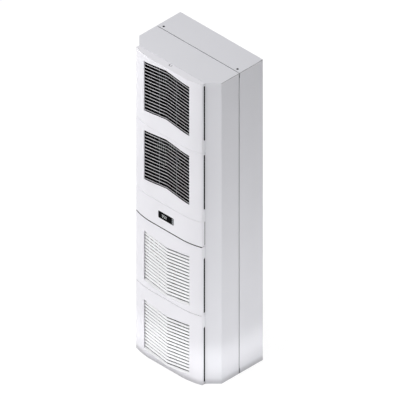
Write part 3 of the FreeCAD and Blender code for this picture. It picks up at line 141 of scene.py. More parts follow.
# Each row: name, two tones, patch size, roughness range, grit size and bump height
LOOKS = {
    # Light-grey polyester powder coat, stoved: a fine orange peel breaks up a satin sheen
    "housing_paint": finish_of("powder_coated_steel_light_grey", "#d6d6db", "#dadadf", 240, (0.42, 0.52), 3.2, 0.10),
    # Light-grey ABS from a spark-eroded mould: even satin with a very fine grain
    "moulding": finish_of("moulded_abs_light_grey", "#dedde2", "#e3e2e7", 300, (0.40, 0.50), 1.6, 0.05, ior=1.53),
    # The same ABS on the blades of the turned-over lower mouldings, painted a shade lighter as painted light against
    # the shade the blades cast on each other, and a little smoother
    "louvre": finish_of("moulded_abs_painted_lighter", "#f1f1f3", "#f6f6f8", 200, (0.34, 0.42), 1.6, 0.03, ior=1.53),
    # Plastic-dipped steel wire: soft black with rounded gloss along the wires
    "black_wire": finish_of("dipped_wire_black", "#0c0c0d", "#121213", 30, (0.35, 0.5), 2.5, 0.08, glint=0.12),
    # Glass-filled nylon, moulded: dull black with faint flow clouds
    "black_plastic": finish_of("moulded_nylon_black", "#0d0d0e", "#131314", 45, (0.5, 0.65), 1.2, 0.05, glint=0.12),
    # Smoked acrylic pane with an anti-reflection coat: near black, only a weak clear reflection
    "display_pane": finish_of("coated_acrylic_smoked", "#08090a", "#0c0d0e", 60, (0.06, 0.10), 30, 0.01, ior=1.49,
                              glint=0.02),
    # Silicone-painted key caps: mid grey, soft and dull
    "key_grey": finish_of("painted_key_cap_grey", "#7e8285", "#868a8d", 12, (0.5, 0.6), 0.8, 0.03),
    # Hot-dip galvanised sheet: spangle in cells of different brightness
    "galvanised": finish_of("galvanised_sheet", "#9fa4a8", "#c3c7ca", 14, (0.30, 0.5), 9, 0.02, metallic=1.0,
                            grit_kind="CELL"),
    # Blackened steel threads: oxide film over bright metal, hardly any glint
    "blackened": finish_of("blackened_steel", "#0b0b0c", "#151517", 6, (0.45, 0.6), 0.9, 0.02, glint=0.1),
    # Zinc-plated steel fasteners: bright, slightly blue, fine turning marks
    "zinc": finish_of("zinc_plated_steel", "#b9bec3", "#cfd3d6", 6, (0.22, 0.36), 0.9, 0.02, metallic=1.0),
    # Closed-cell foam strip: dark grey with open pores at the cut edge
    "foam": finish_of("closed_cell_foam_dark", "#141516", "#1c1d1e", 8, (0.85, 0.95), 1.4, 0.4, glint=0.1,
                      grit_kind="CELL"),
    # The moulding's ABS on the stiffeners, coloured dark grey as painted shade for their place behind the blades: dull
    # and even
    "rib_painted_shade": finish_of("moulded_abs_painted_shade", "#5e6064", "#686a6e", 60, (0.5, 0.6), 1.6, 0.05, ior=1.53),
    # Black closed-cell foam, slit from sheet: swallows light, with fine pores
    "black_foam": finish_of("slit_foam_black", "#0c0c0d", "#131314", 8, (0.85, 0.95), 1.4, 0.4, glint=0.1,
                            grit_kind="CELL"),
    # Black EPDM rubber, pressed: dull with a dusty bloom
    "rubber": finish_of("pressed_rubber_black", "#121212", "#1a1a1a", 20, (0.65, 0.85), 1.5, 0.06, glint=0.15),
    # Copper tube, drawn and aged: brown metal with tarnish clouds
    "copper": finish_of("tarnished_copper", "#4a2f22", "#6b4735", 35, (0.4, 0.55), 4, 0.03, metallic=1.0),
    # Machined brass: yellow metal with fine tool marks
    "brass": finish_of("machined_brass", "#b08b45", "#c7a35c", 12, (0.22, 0.38), 0.8, 0.02, metallic=1.0),
    # Baked black enamel: thick gloss over a spun shell
    "black_enamel": finish_of("baked_enamel_black", "#0e0e10", "#161618", 60, (0.2, 0.3), 5, 0.06, coat=0.4),
    # Die-cast alloy, shot-blasted: pale grey metal with a coarse skin
    "motor_alloy": finish_of("die_cast_alloy", "#8f9396", "#a7abad", 18, (0.45, 0.6), 1.2, 0.08, metallic=1.0),
    # Solder mask over glass fibre: deep green, half gloss
    "board": finish_of("solder_mask_green", "#0d4a2a", "#135a35", 9, (0.3, 0.4), 2.2, 0.03),
}


def fin_stock():
    """Pressed aluminium fins: thin bright plates with dark gaps, drawn as bands across X; the dark bands are painted
    shade of the gaps.

    Real fins stand about 2 mm apart; these are drawn 12.6 mm apart, because finer ones don't show in the render. The
    wave repeats every 2 pi / 20 of its scaled unit, so that is a scale of 25."""
    bands = 25.0
    look, tree = bare("pressed_fins_painted_gap_shade")
    place = add(tree, "ShaderNodeTexCoord").outputs["Object"]
    wave = add(tree, "ShaderNodeTexWave", {"Vector": place, "Scale": bands}, bands_direction="X").outputs["Fac"]
    # Dark tone: painted shade of the gaps between the fins; light tone: the fins
    tone = add(tree, "ShaderNodeMix", {0: wave, 6: linear("#3a3c3e"), 7: linear("#d3d6d9")}, data_type="RGBA")
    bump = add(tree, "ShaderNodeBump", {"Height": wave, "Strength": 0.8, "Distance": 0.001})
    shader = add(tree, "ShaderNodeBsdfPrincipled", {
        "Base Color": tone.outputs[2], "Normal": bump.outputs[0], "Metallic": 1.0, "Roughness": 0.35})
    add(tree, "ShaderNodeOutputMaterial", {"Surface": shader.outputs[0]})
    return look


def lit_figures():
    """Pale light-emitting figures behind a diffuser: light grey clouds 2 mm wide with a weak glow of their own."""
    look, tree = bare("diffused_led_pale")
    place = add(tree, "ShaderNodeTexCoord").outputs["Object"]
    cloud = add(tree, "ShaderNodeTexNoise", {"Vector": place, "Scale": 1000 / 2.0}).outputs["Fac"]
    tone = add(tree, "ShaderNodeMix", {0: cloud, 6: linear("#b9bdbf"), 7: linear("#d5d8d9")}, data_type="RGBA")
    shader = add(tree, "ShaderNodeBsdfPrincipled", {
        "Base Color": tone.outputs[2], "Emission Color": tone.outputs[2], "Emission Strength": 0.35, "Roughness": 0.4})
    add(tree, "ShaderNodeOutputMaterial", {"Surface": shader.outputs[0]})
    return look


def draw_joints(look):
    """Dark joint lines of the folded sheet, by place and facing: below the top edges of both sides, along the cover's
    rear hem, and in short relief cuts of the tray's front edge at the head and foot of both sides."""
    top_at, top_half = HEIGHT - 2.6, 0.8
    hem_at, hem_half = DEPTH / 2 - COVER_BACK - 0.5, 0.5
    cut_at, cut_half, cut_length = DEPTH / 2 - COVER_BACK + 4.2, 1.2, 27.0
    tree = look.node_tree
    shader = tree.nodes["Principled BSDF"]
    plain = shader.inputs["Base Color"].links[0].from_socket
    place = add(tree, "ShaderNodeTexCoord")
    at = add(tree, "ShaderNodeSeparateXYZ", {0: place.outputs["Object"]}).outputs
    facing = add(tree, "ShaderNodeSeparateXYZ", {0: place.outputs["Normal"]}).outputs
    sideways = add(tree, "ShaderNodeMath", {0: facing["X"], 1: 0.0}, operation="ABSOLUTE").outputs[0]
    side = add(tree, "ShaderNodeMath", {0: sideways, 1: 0.95}, operation="GREATER_THAN").outputs[0]
    top = add(tree, "ShaderNodeMath", {0: at["Z"], 1: top_at / 1000, 2: top_half / 1000},
              operation="COMPARE").outputs[0]
    edge = add(tree, "ShaderNodeMath", {0: side, 1: top}, operation="MULTIPLY").outputs[0]
    hem = add(tree, "ShaderNodeMath", {0: at["Y"], 1: hem_at / 1000, 2: hem_half / 1000},
              operation="COMPARE").outputs[0]
    middle = add(tree, "ShaderNodeMath", {0: at["Z"], 1: HEIGHT / 2000, 2: HEIGHT / 2000 - cut_length / 1000},
                 operation="COMPARE").outputs[0]
    front = add(tree, "ShaderNodeMath", {0: at["Y"], 1: cut_at / 1000, 2: cut_half / 1000},
                operation="COMPARE").outputs[0]
    ends = add(tree, "ShaderNodeMath", {0: front, 1: middle}, operation="SUBTRACT", use_clamp=True).outputs[0]
    cut = add(tree, "ShaderNodeMath", {0: side, 1: ends}, operation="MULTIPLY").outputs[0]
    drawn = add(tree, "ShaderNodeMath", {0: edge, 1: hem}, operation="MAXIMUM").outputs[0]
    line = add(tree, "ShaderNodeMath", {0: drawn, 1: cut}, operation="MAXIMUM").outputs[0]
    shade = add(tree, "ShaderNodeMix", {0: line, 6: plain, 7: linear("#2c2c2e")}, data_type="RGBA")
    tree.links.new(shade.outputs[2], shader.inputs["Base Color"])


def painted_foot_shade(look, least):
    """Painted shade along the foot: the colour darker at the floor, fading out over the lowest 35 mm, as shade near the
    floor.
    """
    # Painted shade: darkest up to 4 mm, gone at 35 mm
    darkest_to, shade_gone_at = 0.004, 0.035
    tree = look.node_tree
    shader = tree.nodes["Principled BSDF"]
    unshaded = shader.inputs["Base Color"].links[0].from_socket
    place = add(tree, "ShaderNodeTexCoord")
    at = add(tree, "ShaderNodeSeparateXYZ", {0: place.outputs["Object"]}).outputs
    left = add(tree, "ShaderNodeMapRange", {0: at["Z"], 1: darkest_to, 2: shade_gone_at, 3: least, 4: 1.0},
               interpolation_type="SMOOTHSTEP")
    foot_shade = add(tree, "ShaderNodeMix", {0: 1.0, 6: unshaded, 7: left.outputs[0]}, data_type="RGBA", blend_type="MULTIPLY")
    tree.links.new(foot_shade.outputs[2], shader.inputs["Base Color"])


LOOKS["fins"] = fin_stock()
LOOKS["figures"] = lit_figures()
draw_joints(LOOKS["housing_paint"])
# Painted shade along the foot of the housing's paint and of the mouldings
painted_foot_shade(LOOKS["housing_paint"], 0.72)
painted_foot_shade(LOOKS["moulding"], 0.62)


# Meshes

def lap(steps):
    """Angles of an even full turn, without the last one that would repeat the first."""
    return np.linspace(0, 2 * math.pi, steps + 1)[:-1]


def points(*parts):
    """Points from x, distance from the back and height, each spread over the others' shape."""
    return np.stack(np.broadcast_arrays(*parts), -1)


def quads(rows, cols, loop):
    """Corner numbers of the quads between neighbouring rows of a grid of closed rows.

    With loop, the last row is joined to the first."""
    r = np.arange(rows if loop else rows - 1)[:, None]
    c = np.arange(cols)[None, :]
    n, up = (c + 1) % cols, (r + 1) % rows
    return np.stack([r * cols + c, r * cols + n, up * cols + n, up * cols + c], -1).reshape(-1, 4)


def piece(name, grids, body, slot, loop=False, caps="", turn=False, thick=0.0, look=None):
    """Mesh from grids of points (count, rows, columns, 3) in millimetres, as (x, distance from back, z).

    Caps "both" close the first and last row of each grid, "pole" only the first. Turn reverses the faces. Thick gives
    an open surface a wall behind it, with sharp rims."""
    verts, faces, start = [], [], 0
    for grid in grids:
        count, rows, cols = grid.shape[:3]
        shift = start + np.arange(count)[:, None, None] * rows * cols
        found = (quads(rows, cols, loop)[None] + shift).reshape(-1, 4)
        faces += (found[:, ::-1] if turn else found).tolist()
        first = shift[:, 0] + np.arange(cols)
        last = first + (rows - 1) * cols
        if caps:
            faces += (first if turn else first[:, ::-1]).tolist()
        if caps == "both":
            faces += (last[:, ::-1] if turn else last).tolist()
        verts.append(grid.reshape(-1, 3))
        start += count * rows * cols
    places = np.concatenate(verts) / 1000
    places[:, 1] = DEPTH / 2000 - places[:, 1]
    mesh = bpy.data.meshes.new(name)
    mesh.from_pydata(places.tolist(), [], faces)
    mesh.shade_smooth()
    mesh.set_sharp_from_angle(angle=SMOOTH_BELOW)
    mesh.materials.append(LOOKS[look or slot])
    made = bpy.data.objects.new(name, mesh)
    bpy.context.scene.collection.objects.link(made)
    if thick:
        corners = np.empty(len(mesh.loops), int)
        mesh.loops.foreach_get("edge_index", corners)
        for number in np.flatnonzero(np.bincount(corners) == 1).tolist():
            mesh.edges[number].use_edge_sharp = True
        wall = made.modifiers.new("wall", "SOLIDIFY")
        wall.thickness = thick / 1000
        wall.offset = -1
    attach(made, body)
    return made


def turned_over(grid, base, flip):
    """A moulding's points lifted to its base height, half a turn about the depth axis first if flipped."""
    out = grid.copy()
    if flip:
        out[..., 0] *= -1
        out[..., 2] = GRILLE_H - out[..., 2]
    out[..., 2] += base
    return out


def skin_depth(x):
    """Depth of the bowed front skin: flat in the middle, then a circular arc falling back to each side."""
    run = np.clip(np.abs(x) - FLAT_HALF, 0, None)
    return DEPTH - FACE_R + np.sqrt(FACE_R ** 2 - run ** 2)


def along_bow(section, margin, base):
    """A section of (depth from the skin, height over a base) carried along the bowed skin to a margin off its sides."""
    section = np.array(section)
    x = np.linspace(-FACE_HALF + margin, FACE_HALF - margin, 61)
    return points(x[:, None], skin_depth(x)[:, None] + section[:, 0], base + section[:, 1])[None]


def spun(profile, x, z, steps):
    """A profile of (radius, depth from the cover's face) spun about the depth axis through each place."""
    reach, depth = profile[:, 0, None], COVER_FACE + profile[:, 1, None]
    turn = lap(steps)
    return points(x[:, None, None] + reach * np.cos(turn), depth, z[:, None, None] + reach * np.sin(turn))


def runs(corners, shares):
    """Closed outline: each side from one corner to the next, sampled at its own list of shares."""
    ends = np.roll(corners, -1, axis=0)
    return np.concatenate([a + (b - a) * s[:, None] for a, b, s in zip(corners, ends, shares)])


def chevron(grow):
    """Louvre field outline, grown all round: upright sides, top and bottom edges raised in the middle."""
    half, drop = FIELD_HALF + grow, grow * CHEVRON / FIELD_HALF
    low, high = FIELD_LOW - grow, MODULE_H - FIELD_TOP + grow
    return np.array([(-half, low - drop), (0, low + CHEVRON), (half, low - drop),
                     (half, high - drop), (0, high + CHEVRON), (-half, high - drop)])


def slab_corners(low, high, inset):
    """Front rectangle of a moulding moved in by an inset, with a corner in the middle of top and bottom."""
    half = FACE_HALF - inset
    return np.array([(-half, low + inset), (0, low + inset), (half, low + inset),
                     (half, high - inset), (0, high - inset), (-half, high - inset)])


def moulding_rows(inner, outer, wall_end, side_lip):
    """Rows of a bowed moulding from the back of its opening's lip, over the skin, to the back of its outer wall.

    Lip and outer edge are quarter rounds; between them the skin runs straight from opening to outline in the
    front view, and every point takes its depth from the bowed skin. The lip has its own depth at a field's sides."""
    quarter = np.linspace(0, math.pi / 2, 5)
    edge = inner(0.0)
    rows = [(edge, np.where(np.abs(edge[:, 0]) > FIELD_HALF - TINY, side_lip, WALL))]
    rows += [(inner(LIP_R * (1 - math.cos(a))), LIP_R * (1 - math.sin(a))) for a in quarter]
    inside, outside = inner(LIP_R), outer(EDGE_R)
    rows += [(inside + (outside - inside) * s, 0.0) for s in np.linspace(0, 1, 8)[1:-1]]
    rows += [(outer(EDGE_R * (1 - math.sin(a))), EDGE_R * (1 - math.cos(a))) for a in quarter]
    shell = [points(xz[:, 0], skin_depth(xz[:, 0]) - drop, xz[:, 1]) for xz, drop in rows]
    last = shell[-1].copy()
    last[:, 1] = wall_end(last)
    return np.stack(shell + [last])[None]


def grille_skin():
    """Shell of a grille moulding with its outer end up: chevron opening, rounded edges, notched side walls."""
    end_lap = 0.4
    # Heights up a side wall, in close pairs where its notch begins and ends
    side = np.array([0, 20, 40, TAB_LENGTH - 2 * TINY, TAB_LENGTH, TAB_LENGTH + TAB_BEVEL, 90, 130, 170, 210, 250, 290,
                     320, GRILLE_H - END_CLOSED - 2 * TINY, GRILLE_H - END_CLOSED, GRILLE_H - 6]) / GRILLE_H
    half = np.linspace(0, 1, 31)[:-1]
    shares = [half, half, side, half, half, 1 - np.append(side[1:], 1.0)[::-1]]

    def wall_end(rim):
        x, depth, z = rim.T
        gap = COVER_FACE + SIDE_GAP
        ramp = np.clip((z - TAB_LENGTH) - TAB_BEVEL, -TAB_BEVEL, 0)
        notch = (z > TAB_LENGTH - TINY) & (z < GRILLE_H - END_CLOSED - TINY)
        sides = np.where(notch, gap + ramp, COVER_FACE + REST)
        back = np.where(np.abs(x) > FACE_HALF - TINY, sides, COVER_FACE + REST)
        return np.where(z > GRILLE_H - TINY, depth - end_lap, back)

    return moulding_rows(lambda grow: runs(chevron(grow), shares),
                         lambda inset: runs(slab_corners(0, GRILLE_H, inset), shares), wall_end, BLADE_SET)


def end_plate():
    """Outer end wall with a plugged round recess: rings spread from the plug, through its groove, to the outline.

    The outline's points lie closer near the recess. The groove is shallow towards the back, where the plug is bridged
    to the wall."""
    across = np.linspace(-1, 1, 61)
    x = across * (0.35 + 0.65 * np.abs(across)) * (FACE_HALF - TINY)
    top = np.column_stack([x[::-1], skin_depth(x[::-1]) - EDGE_R])
    foot = np.column_stack([x, np.full(len(x), COVER_FACE + REST)])
    edge = np.concatenate([foot, top])
    centre = np.array([0.0, COVER_FACE + RECESS_BACK])
    away = edge - centre
    away = away / np.linalg.norm(away, axis=1)[:, None]
    rim = centre + RECESS_R * away
    plug, sunk = RECESS_R - RING_W, 0.3
    deep = np.where(away[:, 1] < -0.6, 0.3, 1.0)
    lathe = ((TINY, sunk), (plug - 0.4, sunk), (plug, 0.7), (plug, RECESS), (RECESS_R - 0.1, RECESS), (RECESS_R, 0.2))
    rows = [(centre + r * away, drop * deep) for r, drop in lathe]
    rows += [(rim + (edge - rim) * s, 0.0 * deep) for s in (0.02, 0.2, 0.4, 0.6, 0.8, 1.0)]
    return np.stack([np.column_stack([xy, GRILLE_H - drop]) for xy, drop in rows])[None]


def plug_shade_ring():
    """Black ring in the groove round the plug, a dark piece put in as painted shade of the groove: an oval cord bent to
    a circle, open towards the back.
    """
    turn = np.radians(np.linspace(-34, 214, 48))[:, None]
    cord = lap(8)
    reach = RECESS_R - RING_W / 2 + 1.4 * np.cos(cord)
    return points(reach * np.cos(turn), COVER_FACE + RECESS_BACK + reach * np.sin(turn),
                  GRILLE_H - 1.1 + 0.9 * np.sin(cord))[None]


def carried(section, x, front):
    """A blade section carried along a V that rises and comes forward to the middle, once for each front height."""
    share = np.abs(x) / FIELD_HALF
    depth = DEPTH - BLADE_SET - BLADE_BOW * share[:, None] + section[..., 0]
    return points(x[:, None], depth, front[:, None, None] + section[..., 1] - CHEVRON * share[:, None])


def louvres():
    """Blades with a rounded nose, all alike but the highest, whose nose runs on into the skin."""
    run, edge = BLADE_RUN, BLADE_EDGE
    section = np.array([(-run, -run), (-0.9, -0.9), (-0.3, -0.55), (0, -1.05), (0, -edge + 0.7), (-0.3, -edge + 0.1),
                        (-0.9, -edge - 0.9), (-run, -edge - run)])
    reach = FIELD_HALF + RAIL_OUT + RAIL_T / 2
    front = FIELD_LOW + CHEVRON + BLADE_FIRST + PITCH * np.arange(BLADES)
    plain = carried(section, np.array([-reach, -reach / 2, 0.0, reach / 2, reach]), front[:-1])
    x = np.linspace(-reach, reach, 41)
    lead = skin_depth(x) - WALL / 2 - DEPTH + BLADE_SET + BLADE_BOW * np.abs(x) / FIELD_HALF
    corners = np.array([(-run, -run), (0, 0), (0, 0), (0, -edge), (0, -edge), (-run, -edge - run)])
    nose = np.tile(corners, (len(x), 1, 1))
    nose[:, 2:4, 0] = lead[:, None]
    nose[:, 4, 1] -= run * lead / (lead + run)
    return plain, carried(nose, x, front[-1:])


def bars(x, half, back, front, low, high):
    """Upright bars: one small rectangle round each x, carried straight up between two heights."""
    corner = np.array([(-half, back), (half, back), (half, front), (-half, front)])
    return points(np.array(x)[:, None, None] + corner[:, 0], corner[:, 1], np.array([low, high])[:, None])


def ribs_and_rails():
    """Two stiffeners behind the blades, and two rails under the skin that take the blades' ends."""
    rib_drop, rail_lap = 1.0, 0.5
    low, high = FIELD_LOW, MODULE_H - FIELD_TOP
    lift = CHEVRON * (1 - RIB_X / FIELD_HALF) - rib_drop
    front = DEPTH - BLADE_SET - BLADE_BOW * RIB_X / FIELD_HALF - BLADE_RUN + RIB_LAP
    middle = FIELD_HALF + RAIL_OUT + RAIL_T / 2
    under = skin_depth(np.array(middle)) - WALL + rail_lap
    return (bars((-RIB_X, RIB_X), RIB_T / 2, front - RIB_DEPTH, front, low + lift, high + lift),
            bars((-middle, middle), RAIL_T / 2, DEPTH - RAIL_DEPTH, under, low - RAIL_OVER, high + RAIL_OVER))


def pegs(low, high):
    """Four snap pegs: a stepped profile with a barbed nose spun about the depth axis."""
    profile = np.array([(1.5, -10), (3.2, -10), (4.0, -7), (4.0, 0.6), (6.0, 0.6), (6.0, 14)])
    x = np.array([-PEG_X, PEG_X, -PEG_X, PEG_X])
    z = np.array([low, low, high, high]) + np.array([1, 1, -1, -1]) * PEG_END
    return spun(profile, x, z, 20)


def dress_grilles():
    """The four grille mouldings, the lower pair turned over."""
    stiff, rails = ribs_and_rails()
    for node, (base, flip) in GRILLES.items():
        spec = (node, "moulding")
        skin = piece(node + "_skin", [turned_over(grille_skin(), base, flip)], *spec, turn=True, thick=SKIN_T)
        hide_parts(node)
        piece(node + "_end", [turned_over(end_plate(), base, flip)], *spec, caps="pole", thick=SKIN_T)
        # Blades of the turned-over lower pair take the painted light of the lighter louvre look
        piece(node + "_louvres", [turned_over(grid, base, flip) for grid in louvres()], *spec, caps="both",
              look="louvre" if flip else "moulding")
        # Stiffeners in the dark grey of painted shade
        piece(node + "_ribs", [turned_over(stiff, base, flip)], *spec, caps="both", turn=True, look="rib_painted_shade")
        # Black ring as painted shade of the plug's groove
        piece(node + "_ring", [turned_over(plug_shade_ring(), base, flip)], node, "rubber", caps="both")
        piece(node + "_rails", [turned_over(rails, base, flip)], *spec, caps="both", turn=True)
        piece(node + "_pegs", [turned_over(pegs(0, GRILLE_H), base, flip)], *spec, caps="both")


def lining():
    """Black foam on the cover behind each grille: a frame folded into the opening, flat out to near the pegs."""
    fold_in, stand = 1.6, 0.6
    share = np.linspace(0, 1, 9)[:-1]
    half, edge = FIELD_HALF + OPENING_SIDE - FOAM_CLEAR, PEG_X - 8
    over = OPENING_MARGIN - FOAM_CLEAR
    low, high = FIELD_LOW - over, MODULE_H - FIELD_TOP + CHEVRON + over
    inner = np.array([(-half, low), (half, low), (half, high), (-half, high)])
    outer = np.array([(-edge, 5), (edge, 5), (edge, GRILLE_H - 4), (-edge, GRILLE_H - 4)])
    rows = [(inner, COVER_FACE - fold_in), (inner, COVER_FACE + stand), (outer, COVER_FACE + stand)]
    return np.stack([np.insert(runs(xz, [share] * 4), 1, depth, axis=1) for xz, depth in rows])[None]


def dress_lining():
    """The four foam frames on the cover."""
    sheets = [turned_over(lining(), base, flip) for base, flip in GRILLES.values()]
    piece("cover_lining", sheets, "housing", "black_foam", thick=FOAM_T)


def shade_foam_strip(low, high, front, ramp):
    """Black foam behind a moulding's open side, put there as painted shade of the side gap: a block carried upwards.

    Its front falls back over the ramp at the low end."""
    back, near, far = COVER_FACE + 0.1, FACE_HALF - 11, FACE_HALF - 0.7
    z = np.array([low, low + max(ramp, 1.0), high])
    ahead = np.array([front - ramp, front, front])
    depth = np.stack([np.full(3, back), np.full(3, back), ahead, ahead], 1)
    return points(np.array([near, far, far, near]), depth, z[:, None])[None]


def dress_seals():
    """The seal under the display strip, thin lips on the grille below it, and foam behind all open sides.

    The seal and the lips lie partly in the rounded edges of the mouldings, where they draw the dark joints; there they
    are painted shade of the joints, darker and wider than the gaps."""
    seal = [(-1.0, 1.72), (-1.5, 1.52), (-2.2, 1.4), (-12, 1.4), (-12, -1.4), (-0.6, -1.4), (-0.3, -1.2)]
    under_strip = 2 * MODULE_H - MODULE_GAP + STRIP_GAP / 2
    # The seal in the joint, its lips spread over the mouldings' rounded edges as painted shade
    bead = piece("strip_seal_shade_bead", [along_bow(seal, 0.6, under_strip)], "housing", "rubber", caps="both", turn=True)
    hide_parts("strip_seal")
    # Black lips on the lower grille's rounded edges, as painted shade of its joints
    foot = along_bow([(-0.35, 0.87), (-3.0, 0.87), (-3.0, -0.3), (-0.6, -0.3)], 2.2, MODULE_H)
    head = along_bow([(-0.3, 0.0), (-3.0, 0.0), (-3.0, -1.38), (-0.1, -1.38)], 2.2, MODULE_H + GRILLE_H)
    piece("grille_lower_top_shade_lips", [foot, head], "grille_lower_top", "rubber", caps="both", turn=True)
    # Black foam blocks behind all open sides, as painted shade of the side gaps
    mirror = np.array([-1, 1, 1])
    right = shade_foam_strip(TAB_LENGTH + FOAM_SET, GRILLE_H - END_CLOSED - FOAM_SET, COVER_FACE + SIDE_GAP - FOAM_SET,
                       TAB_BEVEL)
    left = right * mirror
    plain = shade_foam_strip(2 * MODULE_H + STRIP_GAP + WALL, 2 * MODULE_H + STRIP_H - WALL - 1,
                       COVER_FACE + STRIP_SIDE_GAP - FOAM_SET, 0.0)
    bent = [turned_over(left if flip else right, base, flip) for base, flip in GRILLES.values()]
    strips = piece("side_shade_foam_right", bent + [plain], "housing", "black_foam", caps="both", turn=True)
    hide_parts("side_foam")
    bent = [turned_over(right if flip else left, base, flip) for base, flip in GRILLES.values()]
    piece("side_shade_foam_left", bent + [plain * mirror], "housing", "black_foam", caps="both")


def rounded_outline(width, height, radius, per_corner):
    """Closed rounded rectangle round the display's centre, from its lower left corner, corner arcs sampled evenly."""
    turn = np.linspace(0, math.pi / 2, per_corner)
    starts = np.array([math.pi, 1.5 * math.pi, 0, 0.5 * math.pi])
    sign = np.array([(-1, -1), (1, -1), (1, 1), (-1, 1)])
    centre = sign * np.array([width / 2 - radius, height / 2 - radius])
    angle = starts[:, None] + turn[None, :]
    arc = centre[:, None, :] + radius * np.stack([np.cos(angle), np.sin(angle)], -1)
    return arc.reshape(-1, 2) + np.array([0, DISPLAY_Z])


def strip_skin():
    """Shell of the display strip: rounded display opening, rounded edges, side walls set off from the cover.

    Opening and outline are both sampled in four equal runs, from the middle of one corner to the middle of the next."""
    low = 2 * MODULE_H + STRIP_GAP - MODULE_GAP
    high = 2 * MODULE_H + STRIP_H - MODULE_GAP
    share = np.linspace(0, 1, 41)[:-1]
    per_corner = 9

    def inner(grow):
        more = 2 * DISPLAY_CLEAR
        loop = rounded_outline(DISPLAY_W + more + 2 * grow, DISPLAY_H + more + 2 * grow,
                               DISPLAY_R + DISPLAY_CLEAR + grow, per_corner)
        loop = np.roll(loop, -(per_corner // 2), axis=0)
        ring = np.vstack([loop, loop[:1]])
        length = np.concatenate([[0], np.cumsum(np.linalg.norm(np.diff(ring, axis=0), axis=1))])
        knots = length[::per_corner]
        where = (knots[:-1, None] + np.diff(knots)[:, None] * share).ravel()
        return np.column_stack([np.interp(where, length, ring[:, 0]), np.interp(where, length, ring[:, 1])])

    def outer(inset):
        half = FACE_HALF - inset
        corners = np.array([(-half, low + inset), (half, low + inset), (half, high - inset), (-half, high - inset)])
        return runs(corners, [share] * 4)

    def wall_end(rim):
        x, _, z = rim.T
        sides = (np.abs(x) > FACE_HALF - TINY) & (z > low + WALL) & (z < high - WALL)
        return np.where(sides, COVER_FACE + STRIP_SIDE_GAP, COVER_FACE + REST)

    return moulding_rows(inner, outer, wall_end, WALL), low, high


def dress_strip():
    """The display strip and its pegs."""
    grid, low, high = strip_skin()
    skin = piece("display_panel_skin", [grid], "housing", "moulding", turn=True, thick=SKIN_T)
    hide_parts("display_panel")
    piece("display_panel_pegs", [pegs(low, high)], "housing", "moulding", caps="both")


# Seven bars of a digit: which of them light up for each figure, in the order top, upper right, lower right,
# bottom, lower left, upper left, middle
FIGURES = {"0": "1111110", "3": "1111001", "5": "1011011"}


def digit_bars(figure, left, low, wide, tall):
    """Lit bars of one figure: each a flat six-sided outline between two corners of the figure's frame."""
    top, middle = low + tall, low + tall / 2
    right = left + wide
    ends = np.array([[(left, top), (right, top)], [(right, top), (right, middle)], [(right, middle), (right, low)],
                     [(left, low), (right, low)], [(left, low), (left, middle)], [(left, middle), (left, top)],
                     [(left, middle), (right, middle)]])
    lit = ends[np.array(list(FIGURES[figure])) == "1"]
    along = lit[:, 1] - lit[:, 0]
    along = along / np.linalg.norm(along, axis=1)[:, None]
    across = np.stack([-along[:, 1], along[:, 0]], -1)
    half, gap = 0.75, 0.35
    start, stop = lit[:, 0] + along * gap, lit[:, 1] - along * gap
    return np.stack([start, start + (along - across) * half, stop + (-along - across) * half,
                     stop, stop + (-along + across) * half, start + (along + across) * half], 1)


def raised(outlines):
    """Flat outlines (count, points, 2) on the pane, each given its two depths."""
    return np.stack([np.insert(outlines, 1, depth, axis=-1) for depth in FIGURE_DEPTHS], 1)


def dress_display():
    """Lit figures with a point between them, on the display's pane."""
    left, step, wide, tall = -DISPLAY_W / 2 + 22, 10.2, 6.6, 12
    low = DISPLAY_Z - tall / 2
    lit = [digit_bars(figure, left + step * i, low, wide, tall) for i, figure in enumerate("350")]
    dot = 1.6 * np.array([(0, 0), (1, 0), (1, 1), (0, 1)]) + np.array([left + 18.0, low - 0.6])
    piece("display_figures", [raised(outlines) for outlines in lit + [dot[None]]], "housing", "display_pane",
          caps="both", look="figures")


def hoops(radii, z, depth, wire):
    """Concentric wire hoops about a depth axis: a small circle carried round each radius."""
    turn, cord = lap(72)[:, None], lap(8)
    reach = np.array(radii)[:, None, None] + wire * np.cos(cord)
    return points(reach * np.cos(turn), depth + wire * np.sin(cord), z + reach * np.sin(turn))


def wires(ends, wire):
    """Straight wires between pairs of points: a small circle at both ends of each."""
    ends = np.array(ends, float)
    along = ends[:, 1] - ends[:, 0]
    along /= np.linalg.norm(along, axis=1)[:, None]
    depth = np.broadcast_to(np.array([0.0, 1.0, 0.0]), along.shape)
    side = np.cross(along, depth)
    cord = lap(8)[None, :, None]
    circle = wire * (np.cos(cord) * side[:, None] + np.sin(cord) * depth[:, None])
    return ends[:, :, None, :] + circle[:, None]


def dress_guards():
    """Wire guards of the two exhaust fans: hoops on four long bars round a pressed centre plate."""
    back, front, reach, first = COVER_FACE + 1.5, COVER_FACE + 4.2, 152.0, 52.0
    profile = np.array([(TINY, 2.4), (12, 2.4), (14, 3.2), (40, 3.2), (43, 2.2), (44, 0.0)])
    spec = ("housing", "black_wire")
    for name, base in (("upper", GRILLES["grille_upper_top"][0]), ("lower", GRILLES["grille_upper_bottom"][0])):
        z = base + (FIELD_LOW + MODULE_H - FIELD_TOP + CHEVRON) / 2
        rods = [[(-reach, back, z + s), (reach, back, z + s)] for s in (-GUARD_BAR, GUARD_BAR)]
        rods += [[(s, back, z - GUARD_OUTER), (s, back, z + GUARD_OUTER)] for s in (-GUARD_BAR, GUARD_BAR)]
        rings = hoops(np.linspace(first, GUARD_OUTER, 8), z, front, 1.4)
        guard = piece("exhaust_guard_%s_hoops" % name, [rings], *spec, loop=True, turn=True)
        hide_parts("exhaust_guard_" + name)
        piece("exhaust_guard_%s_bars" % name, [wires(rods, 1.5)], *spec, caps="both")
        plate = spun(profile, np.zeros(1), np.array([z]), 48)
        piece("exhaust_guard_%s_plate" % name, [plate], *spec, caps="both", turn=True)


